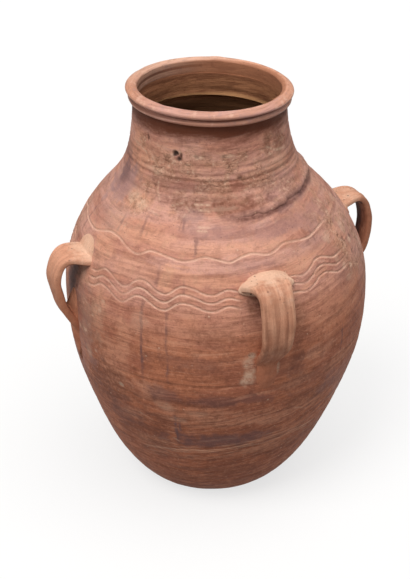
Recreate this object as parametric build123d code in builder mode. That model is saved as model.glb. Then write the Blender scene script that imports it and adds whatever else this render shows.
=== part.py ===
"""A four-handled storage jar of fired clay, a pithos, built up in the stages its potter worked in.

Millimetres, +Z up. The origin is the middle of the foot, on the surface the jar stands on.
The front is -Y. Angles round the jar run from the front towards +X.
"""

from math import cos, radians, sin
import os

from build123d import *

# The whole jar. The shoulder rises from the belly to the neck joint, and the neck to its collar
jar_height = 700.0
foot_radius = 116.0
belly_radius = 249.4
shoulder_rise = 203.0
neck_joint_radius = 157.0
neck_rise = 128.0
neck_top_radius = 121.0

# Wall and base
base_thickness = 16.0
foot_wall = 16.0
rim_wall = 8.0
foot_rounding = 6.0

# Where, on the outside, one stage of the wall was left to stiffen and the next begun: two as
# shares of the height of the belly, and one as a share of the rise of the shoulder
foot_stage_share = 0.446
lower_stage_share = 0.87
belly_stage_share = 0.69
lap_rise = 9.0

# Rim: a ridge under a rolled lip, with a groove between them
collar_height = 12.0
collar_proud = 6.5
groove_proud = 4.5
lip_height = 12.0
lip_edge_rounding = 4.0

# The strip of clay that seals the joint of neck and shoulder
seam_strip_half_height = 13.0
seam_strip_proud = 4.5
seam_strip_rise = 7.5
seam_strip_start_angle = -19.0
seam_strip_turn = 118.0

# Handles: a grooved strap between two pads of clay pressed on to the wall
strap_width = 53.0
strap_thickness = 14.0
strap_rounding = 5.5
strap_groove_count = 3
strap_groove_radius = 9.0
strap_groove_depth = 1.8
strap_groove_pitch = 14.0
handle_reach = 28.0
handle_root_depth = 17.6
handle_root_sag = 3.0
handle_root_drop = 52.0
front_pair_angle = -5.0
side_pair_angle = 90.0
front_handle_lift = 0.0
right_handle_lift = -12.0
back_handle_lift = -14.0
left_handle_lift = -18.0

top_pad_half_width = 42.0
top_pad_half_height = 24.0
top_pad_proud = 15.0
top_pad_drop = 10.0
bottom_pad_half_width = 36.0
bottom_pad_half_height = 31.0
bottom_pad_proud = 9.0
bottom_pad_drop = 13.0
pad_root_depth = 30.0

# The outline, as shares of the rise and of the swell from the foot to the belly, from the belly
# up to the neck joint, and from there to the top of the neck
foot_to_belly_shares = ((0.055, 0.15), (0.23, 0.46), (0.48, 0.73), (0.76, 0.945))
belly_to_neck_shares = ((0.30, 0.945), (0.53, 0.77), (0.72, 0.53), (0.88, 0.24))
neck_shares = ((0.19, 0.57), (0.37, 0.32), (0.62, 0.12))

# Places along the outline where the thickness of the wall is set off from it
inner_face_shares = (0.1, 0.2, 0.3, 0.4, 0.5, 0.6, 0.7, 0.78, 0.85, 0.93)

# A handle's rise above the belly, as a share of the shoulder's
handle_rise_share = 0.645

# The strap's middle line, as shares of the reach beyond the belly and of the rise above it, and
# how it bends there, as shares of the rise
crest_shares = (0.68, 1.015)
brow_shares = (1.0, 0.66)
elbow_shares = (0.67, 0.305)
bend_shares = (0.168, 0.725, 0.534)

# A pad's dome, as shares of its width and height and of how far it stands proud
dome_shares = ((1.0, 0.0), (0.82, 0.55), (0.42, 0.95))

halvings = 40

# Angles round the jar that the slices take to trim the handles and the seam strip against
handle_slice = 50.0
slice_margin = 10.0

# The wall's profile is drawn midway between two handles
profile_angle = 45.0
profile_plane = Plane.XZ.rotated((0, 0, profile_angle))

os.makedirs("parts", exist_ok=True)


def write(builder, name):
    """Label a finished piece and write it under its own name."""
    builder.part.label = name
    export_step(builder.part, f"parts/{name}.step")


def share_at_height(curve, height):
    """Where along a face of the wall, from 0 at its foot to 1 at its top, it passes a height."""
    low, high = 0.0, 1.0
    for _ in range(halvings):
        middle = (low + high) / 2
        if (curve @ middle).Y < height:
            low = middle
        else:
            high = middle
    return low


# Heights and radii that follow from the sizes above
lip_bottom = jar_height - lip_height
neck_top = lip_bottom - collar_height
neck_joint_height = neck_top - neck_rise
belly_height = neck_joint_height - shoulder_rise
handle_rise = handle_rise_share * shoulder_rise
mouth_radius = neck_top_radius - rim_wall
groove_radius = neck_top_radius + groove_proud
collar_radius = neck_top_radius + collar_proud
stage_tops = (
    foot_stage_share * belly_height,
    lower_stage_share * belly_height,
    belly_height + belly_stage_share * shoulder_rise,
    neck_joint_height,
)


def wall_thickness(share):
    """The wall thins steadily from its foot to the top of the neck."""
    return foot_wall + share * (rim_wall - foot_wall)


# The wall's two faces, as curves of radius against height
outer_points = [(foot_radius, 0)]
for rise_share, swell_share in foot_to_belly_shares:
    radius = foot_radius + swell_share * (belly_radius - foot_radius)
    outer_points.append((radius, rise_share * belly_height))
outer_points.append((belly_radius, belly_height))
for rise_share, swell_share in belly_to_neck_shares:
    radius = neck_joint_radius + swell_share * (belly_radius - neck_joint_radius)
    outer_points.append((radius, belly_height + rise_share * (neck_joint_height - belly_height)))
outer_points.append((neck_joint_radius, neck_joint_height))
for rise_share, swell_share in neck_shares:
    radius = neck_top_radius + swell_share * (neck_joint_radius - neck_top_radius)
    outer_points.append((radius, neck_joint_height + rise_share * (neck_top - neck_joint_height)))
outer_points.append((neck_top_radius, neck_top))

with BuildLine() as outer_line:
    Spline(*outer_points)
outer_face = outer_line.edges()[0]

inner_points = [(foot_radius - foot_wall, 0)]
for share in inner_face_shares:
    along = outer_face % share
    inner_points.append(outer_face @ share + Vector(-along.Y, along.X) * wall_thickness(share))
inner_points.append((mouth_radius, neck_top))

with BuildLine() as inner_line:
    Spline(*inner_points)
inner_face = inner_line.edges()[0]


def wall_radius(height):
    """Radius of the wall's outside at a height."""
    return (outer_face @ share_at_height(outer_face, height)).X


def filled_jar(start_angle, turn):
    """A slice of the jar filled solid, to trim what is pressed on to its outside against."""
    with BuildPart() as filled:
        with BuildSketch(Plane.XZ.rotated((0, 0, start_angle - 90))):
            with BuildLine():
                add(outer_face)
                Polyline((neck_top_radius, neck_top), (0, neck_top), (0, 0), (foot_radius, 0))
            make_face()
        revolve(axis=Axis.Z, revolution_arc=turn)
    return filled.part


# Base: a flat slab of clay, its edge already in line with the wall
seat_share = share_at_height(outer_face, base_thickness)

with BuildPart() as base_disc:
    with BuildSketch(profile_plane):
        with BuildLine():
            add(outer_face.trim(0, seat_share))
            Polyline(outer_face @ seat_share, (0, base_thickness), (0, 0), (foot_radius, 0))
        make_face()
    revolve(axis=Axis.Z)
    fillet(base_disc.edges().filter_by(GeomType.CIRCLE).sort_by(Axis.Z)[0], foot_rounding)
write(base_disc, "base_disc")

# Wall: five stages. Each joint is a pair of places, on the outer and on the inner face, and the
# inner one is a lap higher, so that every stage was pressed down over a slanted edge
joints = [(seat_share, share_at_height(inner_face, base_thickness))]
for height in stage_tops:
    outer_share = share_at_height(outer_face, height)
    square_rise = (outer_face % outer_share).X * wall_thickness(outer_share)
    inner_height = height + square_rise + lap_rise
    joints.append((outer_share, share_at_height(inner_face, inner_height)))
joints.append((1, 1))

stage_names = ("foot_wall", "lower_wall", "belly_wall", "shoulder_wall", "neck_wall")

for name, (outer_low, inner_low), (outer_high, inner_high) in zip(stage_names, joints, joints[1:]):
    with BuildPart() as stage:
        with BuildSketch(profile_plane):
            with BuildLine():
                add(outer_face.trim(outer_low, outer_high))
                add(inner_face.trim(inner_low, inner_high))
                Line(outer_face @ outer_low, inner_face @ inner_low)
                Line(outer_face @ outer_high, inner_face @ inner_high)
            make_face()
        revolve(axis=Axis.Z)
    write(stage, name)

# Collar ridge: a half-round coil on top of the neck
with BuildPart() as collar_ridge:
    with BuildSketch(profile_plane):
        with BuildLine():
            collar_middle = neck_top + collar_height / 2
            ThreePointArc(
                (neck_top_radius, neck_top), (collar_radius, collar_middle), (groove_radius, lip_bottom)
            )
            Polyline(
                (groove_radius, lip_bottom),
                (mouth_radius, lip_bottom),
                (mouth_radius, neck_top),
                (neck_top_radius, neck_top),
            )
        make_face()
    revolve(axis=Axis.Z)
write(collar_ridge, "collar_ridge")

# Lip: a half-round coil rolled outwards, with an upright land inside that a stopper drops into
with BuildPart() as lip_roll:
    with BuildSketch(profile_plane):
        with BuildLine():
            lip_roundness = lip_height / 2
            land_top = jar_height - lip_edge_rounding
            lip_inner_crown = (mouth_radius + lip_edge_rounding, jar_height)
            ThreePointArc(
                (groove_radius, lip_bottom),
                (groove_radius + lip_roundness, lip_bottom + lip_roundness),
                (groove_radius, jar_height),
            )
            Line((groove_radius, jar_height), lip_inner_crown)
            RadiusArc(lip_inner_crown, (mouth_radius, land_top), -lip_edge_rounding)
            Polyline((mouth_radius, land_top), (mouth_radius, lip_bottom), (groove_radius, lip_bottom))
        make_face()
    revolve(axis=Axis.Z)
write(lip_roll, "lip_roll")

# Seam strip: a flat strip smeared over the neck joint on one side, where it was left to show
seam_share = share_at_height(outer_face, neck_joint_height + seam_strip_rise)
seam_middle = outer_face @ seam_share
seam_along = outer_face % seam_share
seam_tilt = Vector(1, 0).get_signed_angle(seam_along, Vector(0, 0, 1))
seam_plane = Plane.XZ.rotated((0, 0, seam_strip_start_angle - 90))

with BuildPart() as neck_seam_strip:
    with BuildSketch(seam_plane):
        with Locations(seam_middle):
            Ellipse(seam_strip_half_height, seam_strip_proud, rotation=seam_tilt)
    revolve(axis=Axis.Z, revolution_arc=seam_strip_turn)
    strip_slice_start = seam_strip_start_angle - slice_margin
    add(filled_jar(strip_slice_start, seam_strip_turn + 2 * slice_margin), mode=Mode.SUBTRACT)
write(neck_seam_strip, "neck_seam_strip")

# Handles
handles = (
    ("front", front_pair_angle, front_handle_lift),
    ("right", side_pair_angle, right_handle_lift),
    ("back", front_pair_angle + 180, back_handle_lift),
    ("left", side_pair_angle + 180, left_handle_lift),
)

for side, angle, lift in handles:
    outward = Vector(sin(radians(angle)), -cos(radians(angle)), 0)
    belly_line = belly_height + lift
    jar_slice = filled_jar(angle - handle_slice / 2, handle_slice)
    upright = Plane(origin=(0, 0, belly_line), x_dir=outward, z_dir=outward.cross(Vector(0, 0, 1)))

    # The strap's middle line, out of the shoulder, over the fingers and down to the belly
    root_radius = wall_radius(belly_line + handle_rise) - handle_root_depth
    corners = [(root_radius, handle_rise - handle_root_sag)]
    for reach_share, rise_share in (crest_shares, brow_shares, elbow_shares):
        corners.append((belly_radius + reach_share * handle_reach, rise_share * handle_rise))
    corners.append((root_radius, -handle_root_drop))

    with BuildPart() as long_strap:
        with BuildLine(upright) as middle_line:
            FilletPolyline(*corners, radius=[share * handle_rise for share in bend_shares])
        start = Plane(origin=middle_line.line @ 0, x_dir=-upright.z_dir, z_dir=middle_line.line % 0)
        with BuildSketch(start):
            RectangleRounded(strap_width, strap_thickness, strap_rounding)
            groove_height = strap_thickness / 2 + strap_groove_radius - strap_groove_depth
            with Locations((0, groove_height)):
                with GridLocations(strap_groove_pitch, 0, strap_groove_count, 1):
                    Circle(strap_groove_radius, mode=Mode.SUBTRACT)
        sweep(path=middle_line.line)
        add(jar_slice, mode=Mode.SUBTRACT)

    # Of what the wall cuts it into, the strap is the piece that stands furthest out
    with BuildPart() as strap:
        add(long_strap.solids().sort_by(Axis((0, 0, 0), outward))[-1])
    write(strap, f"{side}_handle_strap")

    pads = (
        ("top", handle_rise - top_pad_drop, top_pad_half_width, top_pad_half_height, top_pad_proud),
        ("bottom", -bottom_pad_drop, bottom_pad_half_width, bottom_pad_half_height, bottom_pad_proud),
    )
    for end, rise, half_width, half_height, proud in pads:
        height = belly_line + rise
        along = outer_face % share_at_height(outer_face, height)
        seat = Plane(
            origin=outward * wall_radius(height) + Vector(0, 0, height),
            x_dir=-upright.z_dir,
            z_dir=outward * along.Y - Vector(0, 0, along.X),
        )
        with BuildPart() as pad:
            for size_share, proud_share in dome_shares:
                with BuildSketch(seat.offset(proud_share * proud)):
                    Ellipse(size_share * half_width, size_share * half_height)
            loft()
            with BuildSketch(seat):
                Ellipse(half_width, half_height)
            extrude(amount=-pad_root_depth)
            add(jar_slice, mode=Mode.SUBTRACT)
            add(strap.part, mode=Mode.SUBTRACT)
        write(pad, f"{side}_handle_{end}_pad")
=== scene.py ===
"""Dresses the solids of a four-handled storage jar as fired clay, and sets it on a pale floor.

The CAD nodes come from the frame. Sizes here are in millimetres and angles in degrees, measured
round the jar from its front (-Y) towards +X, and each mesh is turned to metres as it is placed.
"""

import itertools
import math

import bpy
import numpy as np
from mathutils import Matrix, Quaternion, Vector


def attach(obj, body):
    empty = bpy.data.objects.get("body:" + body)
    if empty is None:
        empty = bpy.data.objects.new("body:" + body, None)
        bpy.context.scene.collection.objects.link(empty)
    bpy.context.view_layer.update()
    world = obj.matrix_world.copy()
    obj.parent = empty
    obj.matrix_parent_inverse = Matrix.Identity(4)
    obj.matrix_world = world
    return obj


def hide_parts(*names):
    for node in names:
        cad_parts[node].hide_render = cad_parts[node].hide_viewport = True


bl_info = {
    "name": "Four-handled clay storage jar",
    "version": (1, 0, 0),
    "blender": (4, 5, 0),
    "location": "3D View > Sidebar > Jar",
    "description": "Builds the clay skin, the incised waves and the handles of a storage jar",
    "category": "Object",
}

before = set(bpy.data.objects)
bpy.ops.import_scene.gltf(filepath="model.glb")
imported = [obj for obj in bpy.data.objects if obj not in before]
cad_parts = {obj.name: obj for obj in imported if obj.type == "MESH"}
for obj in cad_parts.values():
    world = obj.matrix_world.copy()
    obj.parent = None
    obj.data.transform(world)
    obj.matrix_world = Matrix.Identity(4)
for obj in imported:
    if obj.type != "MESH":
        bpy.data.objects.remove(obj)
MM = 0.001
DEGREE = math.radians(1)
UP = np.array((0.0, 0.0, 1.0))

# The solids' own outline: heights and radii, and shares of the rise and the swell between them
JAR_HEIGHT = 700.0
FOOT_RADIUS, FOOT_WALL, FOOT_ROUNDING, BASE_THICKNESS = 116.0, 16.0, 6.0, 16.0
BELLY_RADIUS, BELLY_HEIGHT = 249.4, 345.0
NECK_JOINT_RADIUS, NECK_JOINT_HEIGHT = 157.0, 548.0
NECK_TOP_RADIUS, NECK_TOP, MOUTH_RADIUS = 121.0, 676.0, 113.0
GROOVE_RADIUS, LIP_BOTTOM = 125.5, 688.0
OUTLINE_CORNERS = (
    (FOOT_RADIUS, 0.0), (BELLY_RADIUS, BELLY_HEIGHT),
    (NECK_JOINT_RADIUS, NECK_JOINT_HEIGHT), (NECK_TOP_RADIUS, NECK_TOP),
)
OUTLINE_SHARES = (
    ((0.055, 0.15), (0.23, 0.46), (0.48, 0.73), (0.76, 0.945)),
    ((0.30, 0.945), (0.53, 0.77), (0.72, 0.53), (0.88, 0.24)),
    ((0.19, 0.57), (0.37, 0.32), (0.62, 0.12)),
)
OUTLINE_ROWS = 2400
STAGE_TOPS = (BASE_THICKNESS, 154.0, 300.0, 485.0, NECK_JOINT_HEIGHT, NECK_TOP)
STAGE_NAMES = ("foot_wall", "lower_wall", "belly_wall", "shoulder_wall", "neck_wall")
STAGE_COLUMNS = (560, 720, 800, 800, 640)
# How far each joint slopes up towards the inside
LAP_RISE = 9.0
# The ledge that shows inside the neck
INNER_LEDGE, LEDGE_DEPTH = 636.0, 3.2

# The way on the jar that it leans, how far by height, and how its mouth is tipped
LEAN_WAY = (0.911, -0.4123)
LEAN_HEIGHTS = (0, 120, 250, 400, 550, 700)
LEAN_SHIFTS = (-4.0, 1.0, 3.9, 3.9, -1.2, -4.4)
RIM_TIP = (-0.0241, -0.0116)
RIM_TIP_FROM, RIM_TIP_FULL = 560.0, 676.0

# The incised waves, as angle and height along their lines
SINGLE_WAVE = (
    (-122.8, 485), (-111, 496), (-100, 491.8), (-89, 491), (-77.8, 503), (-71.5, 502.2),
    (-63.2, 492.8), (-58.4, 489.5), (-52.6, 500.2), (-45, 496.3), (-38.1, 492.2), (-32.2, 495),
    (-28.4, 500.5), (-22.4, 496.1), (-16.9, 491.7), (-12.7, 498.1), (-7.4, 501.5), (0.1, 495.8),
    (5.2, 500.7), (8.4, 505.4), (16.3, 502.1), (23.1, 499.5), (28.8, 503), (36.8, 506.3),
    (42.4, 503.4),
)
COMB_WAVE = (
    (-79.6, 444.3), (-76.4, 444.8), (-72.9, 456.8), (-68, 452.4), (-63, 443.1), (-60, 442.4),
    (-55.7, 459.7), (-51.8, 459.2), (-46.2, 447.2), (-42.5, 445.4), (-37.7, 461.2),
    (-32.8, 458.8), (-27.6, 450.3), (-24.1, 449.6), (-19.6, 458.7), (-14, 452), (-8, 447),
    (-2, 460), (3, 462), (8.4, 462.1), (12.3, 456.7), (16.5, 462), (20.1, 470.7), (24.4, 471.7),
    (31.1, 460.4),
)
COMB_DROPS = (0.0, 11.3, 23.0)
# Where the waves aren't seen: their length, the share of it that is left open at the end, the
# shares from crest to trough and how much a crest's height changes
WAVE_LENGTH, LAST_SHARE, HALF_WAVE, CREST_CHANGE = 15.9, 0.8, (0.42, 0.56), 3
# A wave's corners are softened over this many places of its table to each side
SOFT_PLACES, SOFT_WIDTH = 6, 2.6
# The distance beyond which a wave's line counts as far
FAR = 30.0
# How near to a handle's middle the comb stops
COMB_STOPS = (8.5, 12.0)
# A wave's cut, and the burr that it threw up at a distance to each side
CUT_DEPTH, CUT_HALF = 1.1, 1.6
BURR_HEIGHT, BURR_AT, BURR_HALF = 0.3, 3.2, 1.4

# Handles: a name, the angle, the lift against the belly's height and the seed of its unevenness
HANDLES = (
    ("front", -5.0, 0.0, 21),
    ("right", 90.0, -12.0, 22),
    ("back", 175.0, -14.0, 23),
    ("left", 270.0, -18.0, 24),
)
HANDLE_RISE, HANDLE_REACH, HANDLE_ROOT_DEPTH = 130.9, 28.0, 17.6
STRAP_WIDTH, STRAP_THICKNESS = 53.0, 14.0
# How each handle came out: its crest, brow and elbow, as shares of its reach and rise, its bends,
# how far its foot wandered sideways, its foot's width, a lift of its own, the flare of its root,
# how far its middle bows sideways, how far its root's ends droop and how slim it is
HANDLE_FORMS = {
    "front": (
        ((0.66, 0.99), (1.03, 0.62), (0.95, 0.27)), (0.19, 0.6, 0.4),
        -6, 0.72, -6, 0.5, 3.5, 15, 1,
    ),
    "right": (
        ((0.84, 1.01), (1.3, 0.62), (1, 0.22)), (0.25, 0.6, 0.4),
        2, 0.85, -4, 0.15, 0, 6, 0.74,
    ),
    "back": (
        ((0.68, 1.01), (1, 0.66), (0.72, 0.3)), (0.18, 0.7, 0.5),
        4, 0.78, 0, 0.5, -4, 10, 1,
    ),
    "left": (
        ((0.64, 0.995), (1.18, 0.72), (0.8, 0.31)), (0.23, 0.38, 0.6),
        -2, 0.66, 0, 0.35, 0, 7, 0.86,
    ),
}
# Lumps pressed on round each root: at the top or not, how far above it, half width, half height,
# how proud and how far to the side
HANDLE_LUMPS = {
    "front": (
        (True, -13, 46, 15, 10, 4), (True, -7, 37, 16, 6, 7), (False, -6, 17, 31, 8, -4),
        (False, -24, 18, 30, 5, -5),
    ),
    "right": (
        (True, -10, 42, 18, 8, 0), (False, 0, 20, 36, 9, 2), (False, -26, 21, 34, 4.5, 3),
    ),
    "back": (
        (True, -10, 45, 18, 9, 2), (True, -3, 36, 20, 5, 0), (False, -2, 22, 36, 9, 4),
        (False, -26, 24, 34, 4.5, 5),
    ),
    "left": (
        (True, 3, 31, 26, 4.5, 3), (False, 31, 15, 36, 15, -1), (False, -10, 14, 44, 6.5, -2),
        (False, -34, 13, 40, 3.8, -2),
    ),
}
# A lump that stands less proud than this was smeared along the wall; a thicker one kept its shape
THICK_LUMP = 7.0
# How deep a handle may reach into the wall
HANDLE_SINK = 5.5
# Where the pads are cut off the strap: how far out, how high over the base, and the low cut's face
TOP_CUT_OUT, LOW_CUT_OUT, LOW_CUT_RISE, LOW_CUT_FACE = 17, 9, 24, (0.56, 0.83)
# Tone of each handle, along its length from its top root down: how dark, warm and pale it is, and
# how much of the wall's own red clay it shows
HANDLE_TONES = {
    "front": (
        (0, 0, 0, 0.85, 0), (34, 0, 0, 0.8, 0), (54, 0, 0.1, 0.4, 0), (85, 0.05, 0.15, 0.18, 0),
        (125, 0.2, 0.15, 0.05, 0), (150, 0.45, 0.05, 0, 0.1), (170, 0.65, 0, 0, 0.3),
        (200, 0.8, 0, 0, 0.5),
    ),
    # The right handle's dark on its way down is painted shade
    "right": (
        (0, 0, 0.6, 0.5, 0), (46, 0, 0.8, 0.4, 0), (66, 0.4, 0.6, 0, 0.1),
        (85, 0.7, 0.5, 0, 0.3), (150, 0.5, 0.3, 0, 0.5), (200, 0.4, 0, 0, 0.8),
    ),
    "back": (
        (0, 0, 0.3, 0.4, 0), (60, 0, 0.4, 0.1, 0), (120, 0.1, 0.2, 0, 0.1),
        (200, 0.4, 0, 0, 0.6),
    ),
    "left": (
        (0, 0, 0.1, 0.8, 0), (28, 0, 0.4, 0.55, 0), (60, 0, 0.8, 0.1, 0), (80, 0.1, 0.9, 0, 0.1),
        (105, 0.25, 0.8, 0, 0.4), (135, 0.3, 0.5, 0, 0.75), (200, 0.2, 0.2, 0, 0.9),
    ),
}

# Points round the strap's section and across its grid, and segments of a lump of clay
SECTION_POINTS, STRAP_COLUMNS, LUMP_SEGMENTS, LUMP_RINGS = 241, 56, 40, 20

# Tables round the jar and up it, the reach that their unevenness is taken at, and its lattice
TABLE_STEP = 0.5
TABLE_ANGLES = np.arange(-180.0, 180.0, TABLE_STEP)
TABLE_LEVELS = np.arange(0.0, JAR_HEIGHT + 1)
NOISE_REACH = 60
LATTICE = 32
# Vertices nearer than this, in metres, are one
MERGE_REACH = 1e-5


def smooth_through(knots, values, places):
    """A natural cubic curve through values at knots, read at places."""
    knots, values = np.asarray(knots, float), np.asarray(values, float)
    gaps, count = np.diff(knots), len(knots)
    slopes = np.diff(values) / gaps
    matrix, right = np.eye(count), np.zeros(count)
    for i in range(1, count - 1):
        matrix[i, i - 1 : i + 2] = gaps[i - 1], 2 * (gaps[i - 1] + gaps[i]), gaps[i]
        right[i] = 6 * (slopes[i] - slopes[i - 1])
    bends = np.linalg.solve(matrix, right)
    span = np.clip(np.searchsorted(knots, places) - 1, 0, count - 2)
    low, high = places - knots[span], knots[span + 1] - places
    gap = gaps[span]
    curve = (bends[span] * high**3 + bends[span + 1] * low**3) / (6 * gap)
    curve += (values[span] / gap - bends[span] * gap / 6) * high
    return curve + (values[span + 1] / gap - bends[span + 1] * gap / 6) * low


def run_lengths(points):
    """Length along a line of points, at each of them."""
    return np.concatenate(([0], np.cumsum(np.hypot(*np.diff(points, axis=0).T))))


def read_along(line, places, marks):
    """A line's two columns at marks, from its points at places."""
    return np.column_stack([np.interp(marks, places, line[:, i]) for i in (0, 1)])


def wall_thickness(share):
    """Thickness of the wall at a share of the way from the foot to the neck's top."""
    return FOOT_WALL + share * (NECK_TOP_RADIUS - MOUTH_RADIUS - FOOT_WALL)


def outline_tables():
    """The wall's outer and inner face, as radius and height, and its outward slope by height."""
    points = [OUTLINE_CORNERS[0]]
    runs = zip(OUTLINE_CORNERS, OUTLINE_CORNERS[1:], OUTLINE_SHARES)
    for (low_radius, low), (high_radius, high), shares in runs:
        small, large = sorted((low_radius, high_radius))
        for rise, swell in shares:
            points.append((small + swell * (large - small), low + rise * (high - low)))
        points.append((high_radius, high))
    points = np.array(points)
    knots = run_lengths(points)
    places = np.linspace(0, knots[-1], OUTLINE_ROWS)
    outer = np.column_stack([smooth_through(knots, points[:, i], places) for i in (0, 1)])
    along = np.gradient(outer, axis=0)
    along /= np.linalg.norm(along, axis=1)[:, None]
    share = run_lengths(outer)
    thickness = wall_thickness(share / share[-1])
    inner = outer + np.column_stack((-along[:, 1], along[:, 0])) * thickness[:, None]
    return outer, inner, along


OUTER, INNER, ALONG = outline_tables()


def wall_radius(height):
    """Radius of the wall's smooth outside at a height."""
    return np.interp(height, OUTER[:, 1], OUTER[:, 0])


def inner_radius(height):
    """Radius of the wall's smooth inside at a height."""
    return np.interp(height, INNER[:, 1], INNER[:, 0])


def wall_normal(height):
    """Outward part and upward part of the wall's normal at a height."""
    rise = np.interp(height, OUTER[:, 1], ALONG[:, 1])
    swell = np.interp(height, OUTER[:, 1], ALONG[:, 0])
    return rise, -swell


def step(value, low, high):
    """0 below low, 1 above high and a smooth rise between them."""
    share = np.clip((value - low) / (high - low), 0, 1)
    return share * share * (3 - 2 * share)


def clay_noise(points, size, seed):
    """Smooth unevenness between -1 and 1, in lumps of a size. Each use has a seed of its own."""
    lattice = np.random.default_rng(seed).uniform(-1, 1, (LATTICE,) * 3)
    scaled = points / size
    cell = np.floor(scaled).astype(int)
    part = scaled - cell
    part = part * part * (3 - 2 * part)
    total = np.zeros(len(points))
    for corner in itertools.product((0, 1), repeat=3):
        weight = np.prod(np.where(corner, part, 1 - part), axis=1)
        index = (cell + corner) % LATTICE
        total += weight * lattice[index[:, 0], index[:, 1], index[:, 2]]
    return total


def window(value, low, low_full, high_full, high):
    """1 between the two inner values and 0 beyond the two outer ones."""
    return step(value, low, low_full) * (1 - step(value, high_full, high))


def bell(away, half):
    """1 in the middle of a line, fading out over about its half width."""
    return np.exp(-((away / half) ** 2))


def wrapped(angle):
    """An angle between -180 and 180 degrees."""
    return (angle + 180.0) % 360.0 - 180.0


def directions(angle):
    """The outward and the sideways direction on the jar at an angle."""
    turn = math.radians(angle)
    outward = np.array((math.sin(turn), -math.cos(turn), 0.0))
    return outward, np.array((math.cos(turn), math.sin(turn), 0.0))


def polar(points):
    """Angle round the jar, distance from its axis and height of each point."""
    theta = np.degrees(np.arctan2(points[:, 0], -points[:, 1]))
    return theta, np.hypot(points[:, 0], points[:, 1]), points[:, 2]


def carried_round(points, low, high, seed):
    """A wave's measured points, carried on round the sides that the photograph doesn't show."""
    points, chance = list(points), np.random.default_rng(seed)
    angle, crest = points[-1][0], True
    while angle < points[0][0] + 360 - WAVE_LENGTH * LAST_SHARE:
        angle += WAVE_LENGTH * chance.uniform(*HALF_WAVE)
        height = (high if crest else low) + chance.uniform(-CREST_CHANGE, CREST_CHANGE)
        points.append((angle, height))
        crest = not crest
    return points


def wave_table(points):
    """Height of a wave at every half degree, with its corners softened."""
    angles, heights = np.array(points, float).T
    table = np.interp(TABLE_ANGLES, angles, heights, period=360)
    soft = np.exp(-(np.arange(-SOFT_PLACES, SOFT_PLACES + 1) ** 2) / (2 * SOFT_WIDTH**2))
    padded = np.concatenate((table[-SOFT_PLACES:], table, table[:SOFT_PLACES]))
    return np.convolve(padded, soft / soft.sum(), "valid")


WAVES = (
    wave_table(carried_round(SINGLE_WAVE, 491, 503, 3)),
    wave_table(carried_round(COMB_WAVE, 444, 461, 4)),
)


def wave_distance(table, theta, height, radius, drop=0.0):
    """Distance over the surface to a wave's line, below it negative."""
    line = np.interp(theta, TABLE_ANGLES, table, period=360) - drop
    slope = np.interp(theta, TABLE_ANGLES, np.gradient(table) / TABLE_STEP, period=360)
    steep = slope / (radius * DEGREE)
    rise, _ = wall_normal(height)
    return np.clip((height - line) / np.maximum(rise, 0.5) / np.sqrt(1 + steep**2), -FAR, FAR)


def wave_distances(theta, height, radius):
    """Distances to the single wave and to the comb's three lines, and how strongly each shows."""
    single = wave_distance(WAVES[0], theta, height, radius)
    comb = [wave_distance(WAVES[1], theta, height, radius, drop) for drop in COMB_DROPS]
    clear = np.ones(len(theta))
    for _, angle, _, _ in HANDLES:
        clear *= step(np.abs(wrapped(theta - angle)), *COMB_STOPS)
    worn = step(round_noise(theta, 14, 31), -0.75, -0.1)
    behind = step(np.abs(wrapped(theta + 40)), 75, 95)
    rubbed = 1 - 0.6 * step(round_noise(theta, 9, 33), 0.1, 0.5) * behind
    rubbed *= 1 - 0.7 * window(theta, 33, 42, 60, 72)
    return single, comb, (0.55 + 0.45 * worn) * rubbed, clear * (0.5 + 0.5 * worn) * rubbed


def around(theta, reach, height):
    """Points on a cylinder of a given reach, for unevenness that has no start round the jar."""
    angle = np.radians(theta)
    return np.column_stack((reach * np.sin(angle), -reach * np.cos(angle), height))


# Damage on the outside: angle, height, half width, half height and depth
CHIPS = (
    (-49.3, 629.8, 4.8, 3.6, 3.2), (-46.5, 622.4, 5, 3.8, 3.6), (-45.2, 628, 2.6, 4.2, 2.2),
    (-74.9, 641, 3, 5.5, 2.4), (-33.7, 628, 3.6, 2, 1.2), (-14.6, 629, 3.2, 2.6, 1.4),
    (-4.9, 596.5, 3, 2.4, 1.3), (-62.5, 267, 4.2, 3, 0.9), (-11.7, 353, 5, 4, 1),
    (-93, 371, 4.5, 3.5, 1), (-88, 400, 3, 3, 0.9), (44, 470, 4, 3, 1.2),
    (51, 462, 3.5, 2.5, 1.1), (47, 444, 4, 2.5, 1.2), (55, 431, 3, 4, 1),
    (120, 610, 4.5, 4, 2.4), (156, 300, 5, 3.5, 1.2), (214, 250, 4.5, 4.5, 1.2),
    (133, 430, 3.5, 3, 1.2), (232, 520, 4, 3, 1.4),
)
# Scratches: angle and height of both ends, half width and strength, below nothing where it is dark
SCRATCHES = (
    (-34.2, 561.5, -25.4, 561.6, 1.3, 1), (-31.7, 554.3, -25.4, 553.4, 1.2, 0.8),
    (-31.7, 534.2, -25.6, 534.1, 1.2, 0.8), (-32.1, 529.6, -27.1, 529.5, 1.1, 0.75),
    (-60.2, 583.8, -59.6, 571.2, 1.2, 0.6), (-59.6, 571.2, -56.4, 559.3, 1.2, 0.5),
    (-95.8, 624.8, -84.1, 623.1, 1.2, 0.5), (-84.1, 623.1, -74.6, 617.5, 1.2, 0.6),
    (-71.5, 621.2, -64.8, 608.3, 1.3, 0.7), (-34, 555.2, -38.3, 548.2, 1.1, -0.7),
    (-38.3, 548.2, -40.6, 540.5, 1.1, -0.7), (-40.6, 540.5, -41.2, 528.8, 1.1, -0.6),
    (-16, 591.7, -20.1, 580.8, 1.1, -0.6), (-20.1, 580.8, -21.6, 572.7, 1.1, -0.5),
    (18.5, 632.7, 27.2, 622.1, 1.5, 0.7), (27.2, 622.1, 39.1, 617.5, 1.8, 0.8),
    (-62, 545, -54, 541, 1.2, 0.5), (-48, 556, -41, 563, 1.1, 0.5),
)
SCRATCH_COUNT = 46
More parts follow.
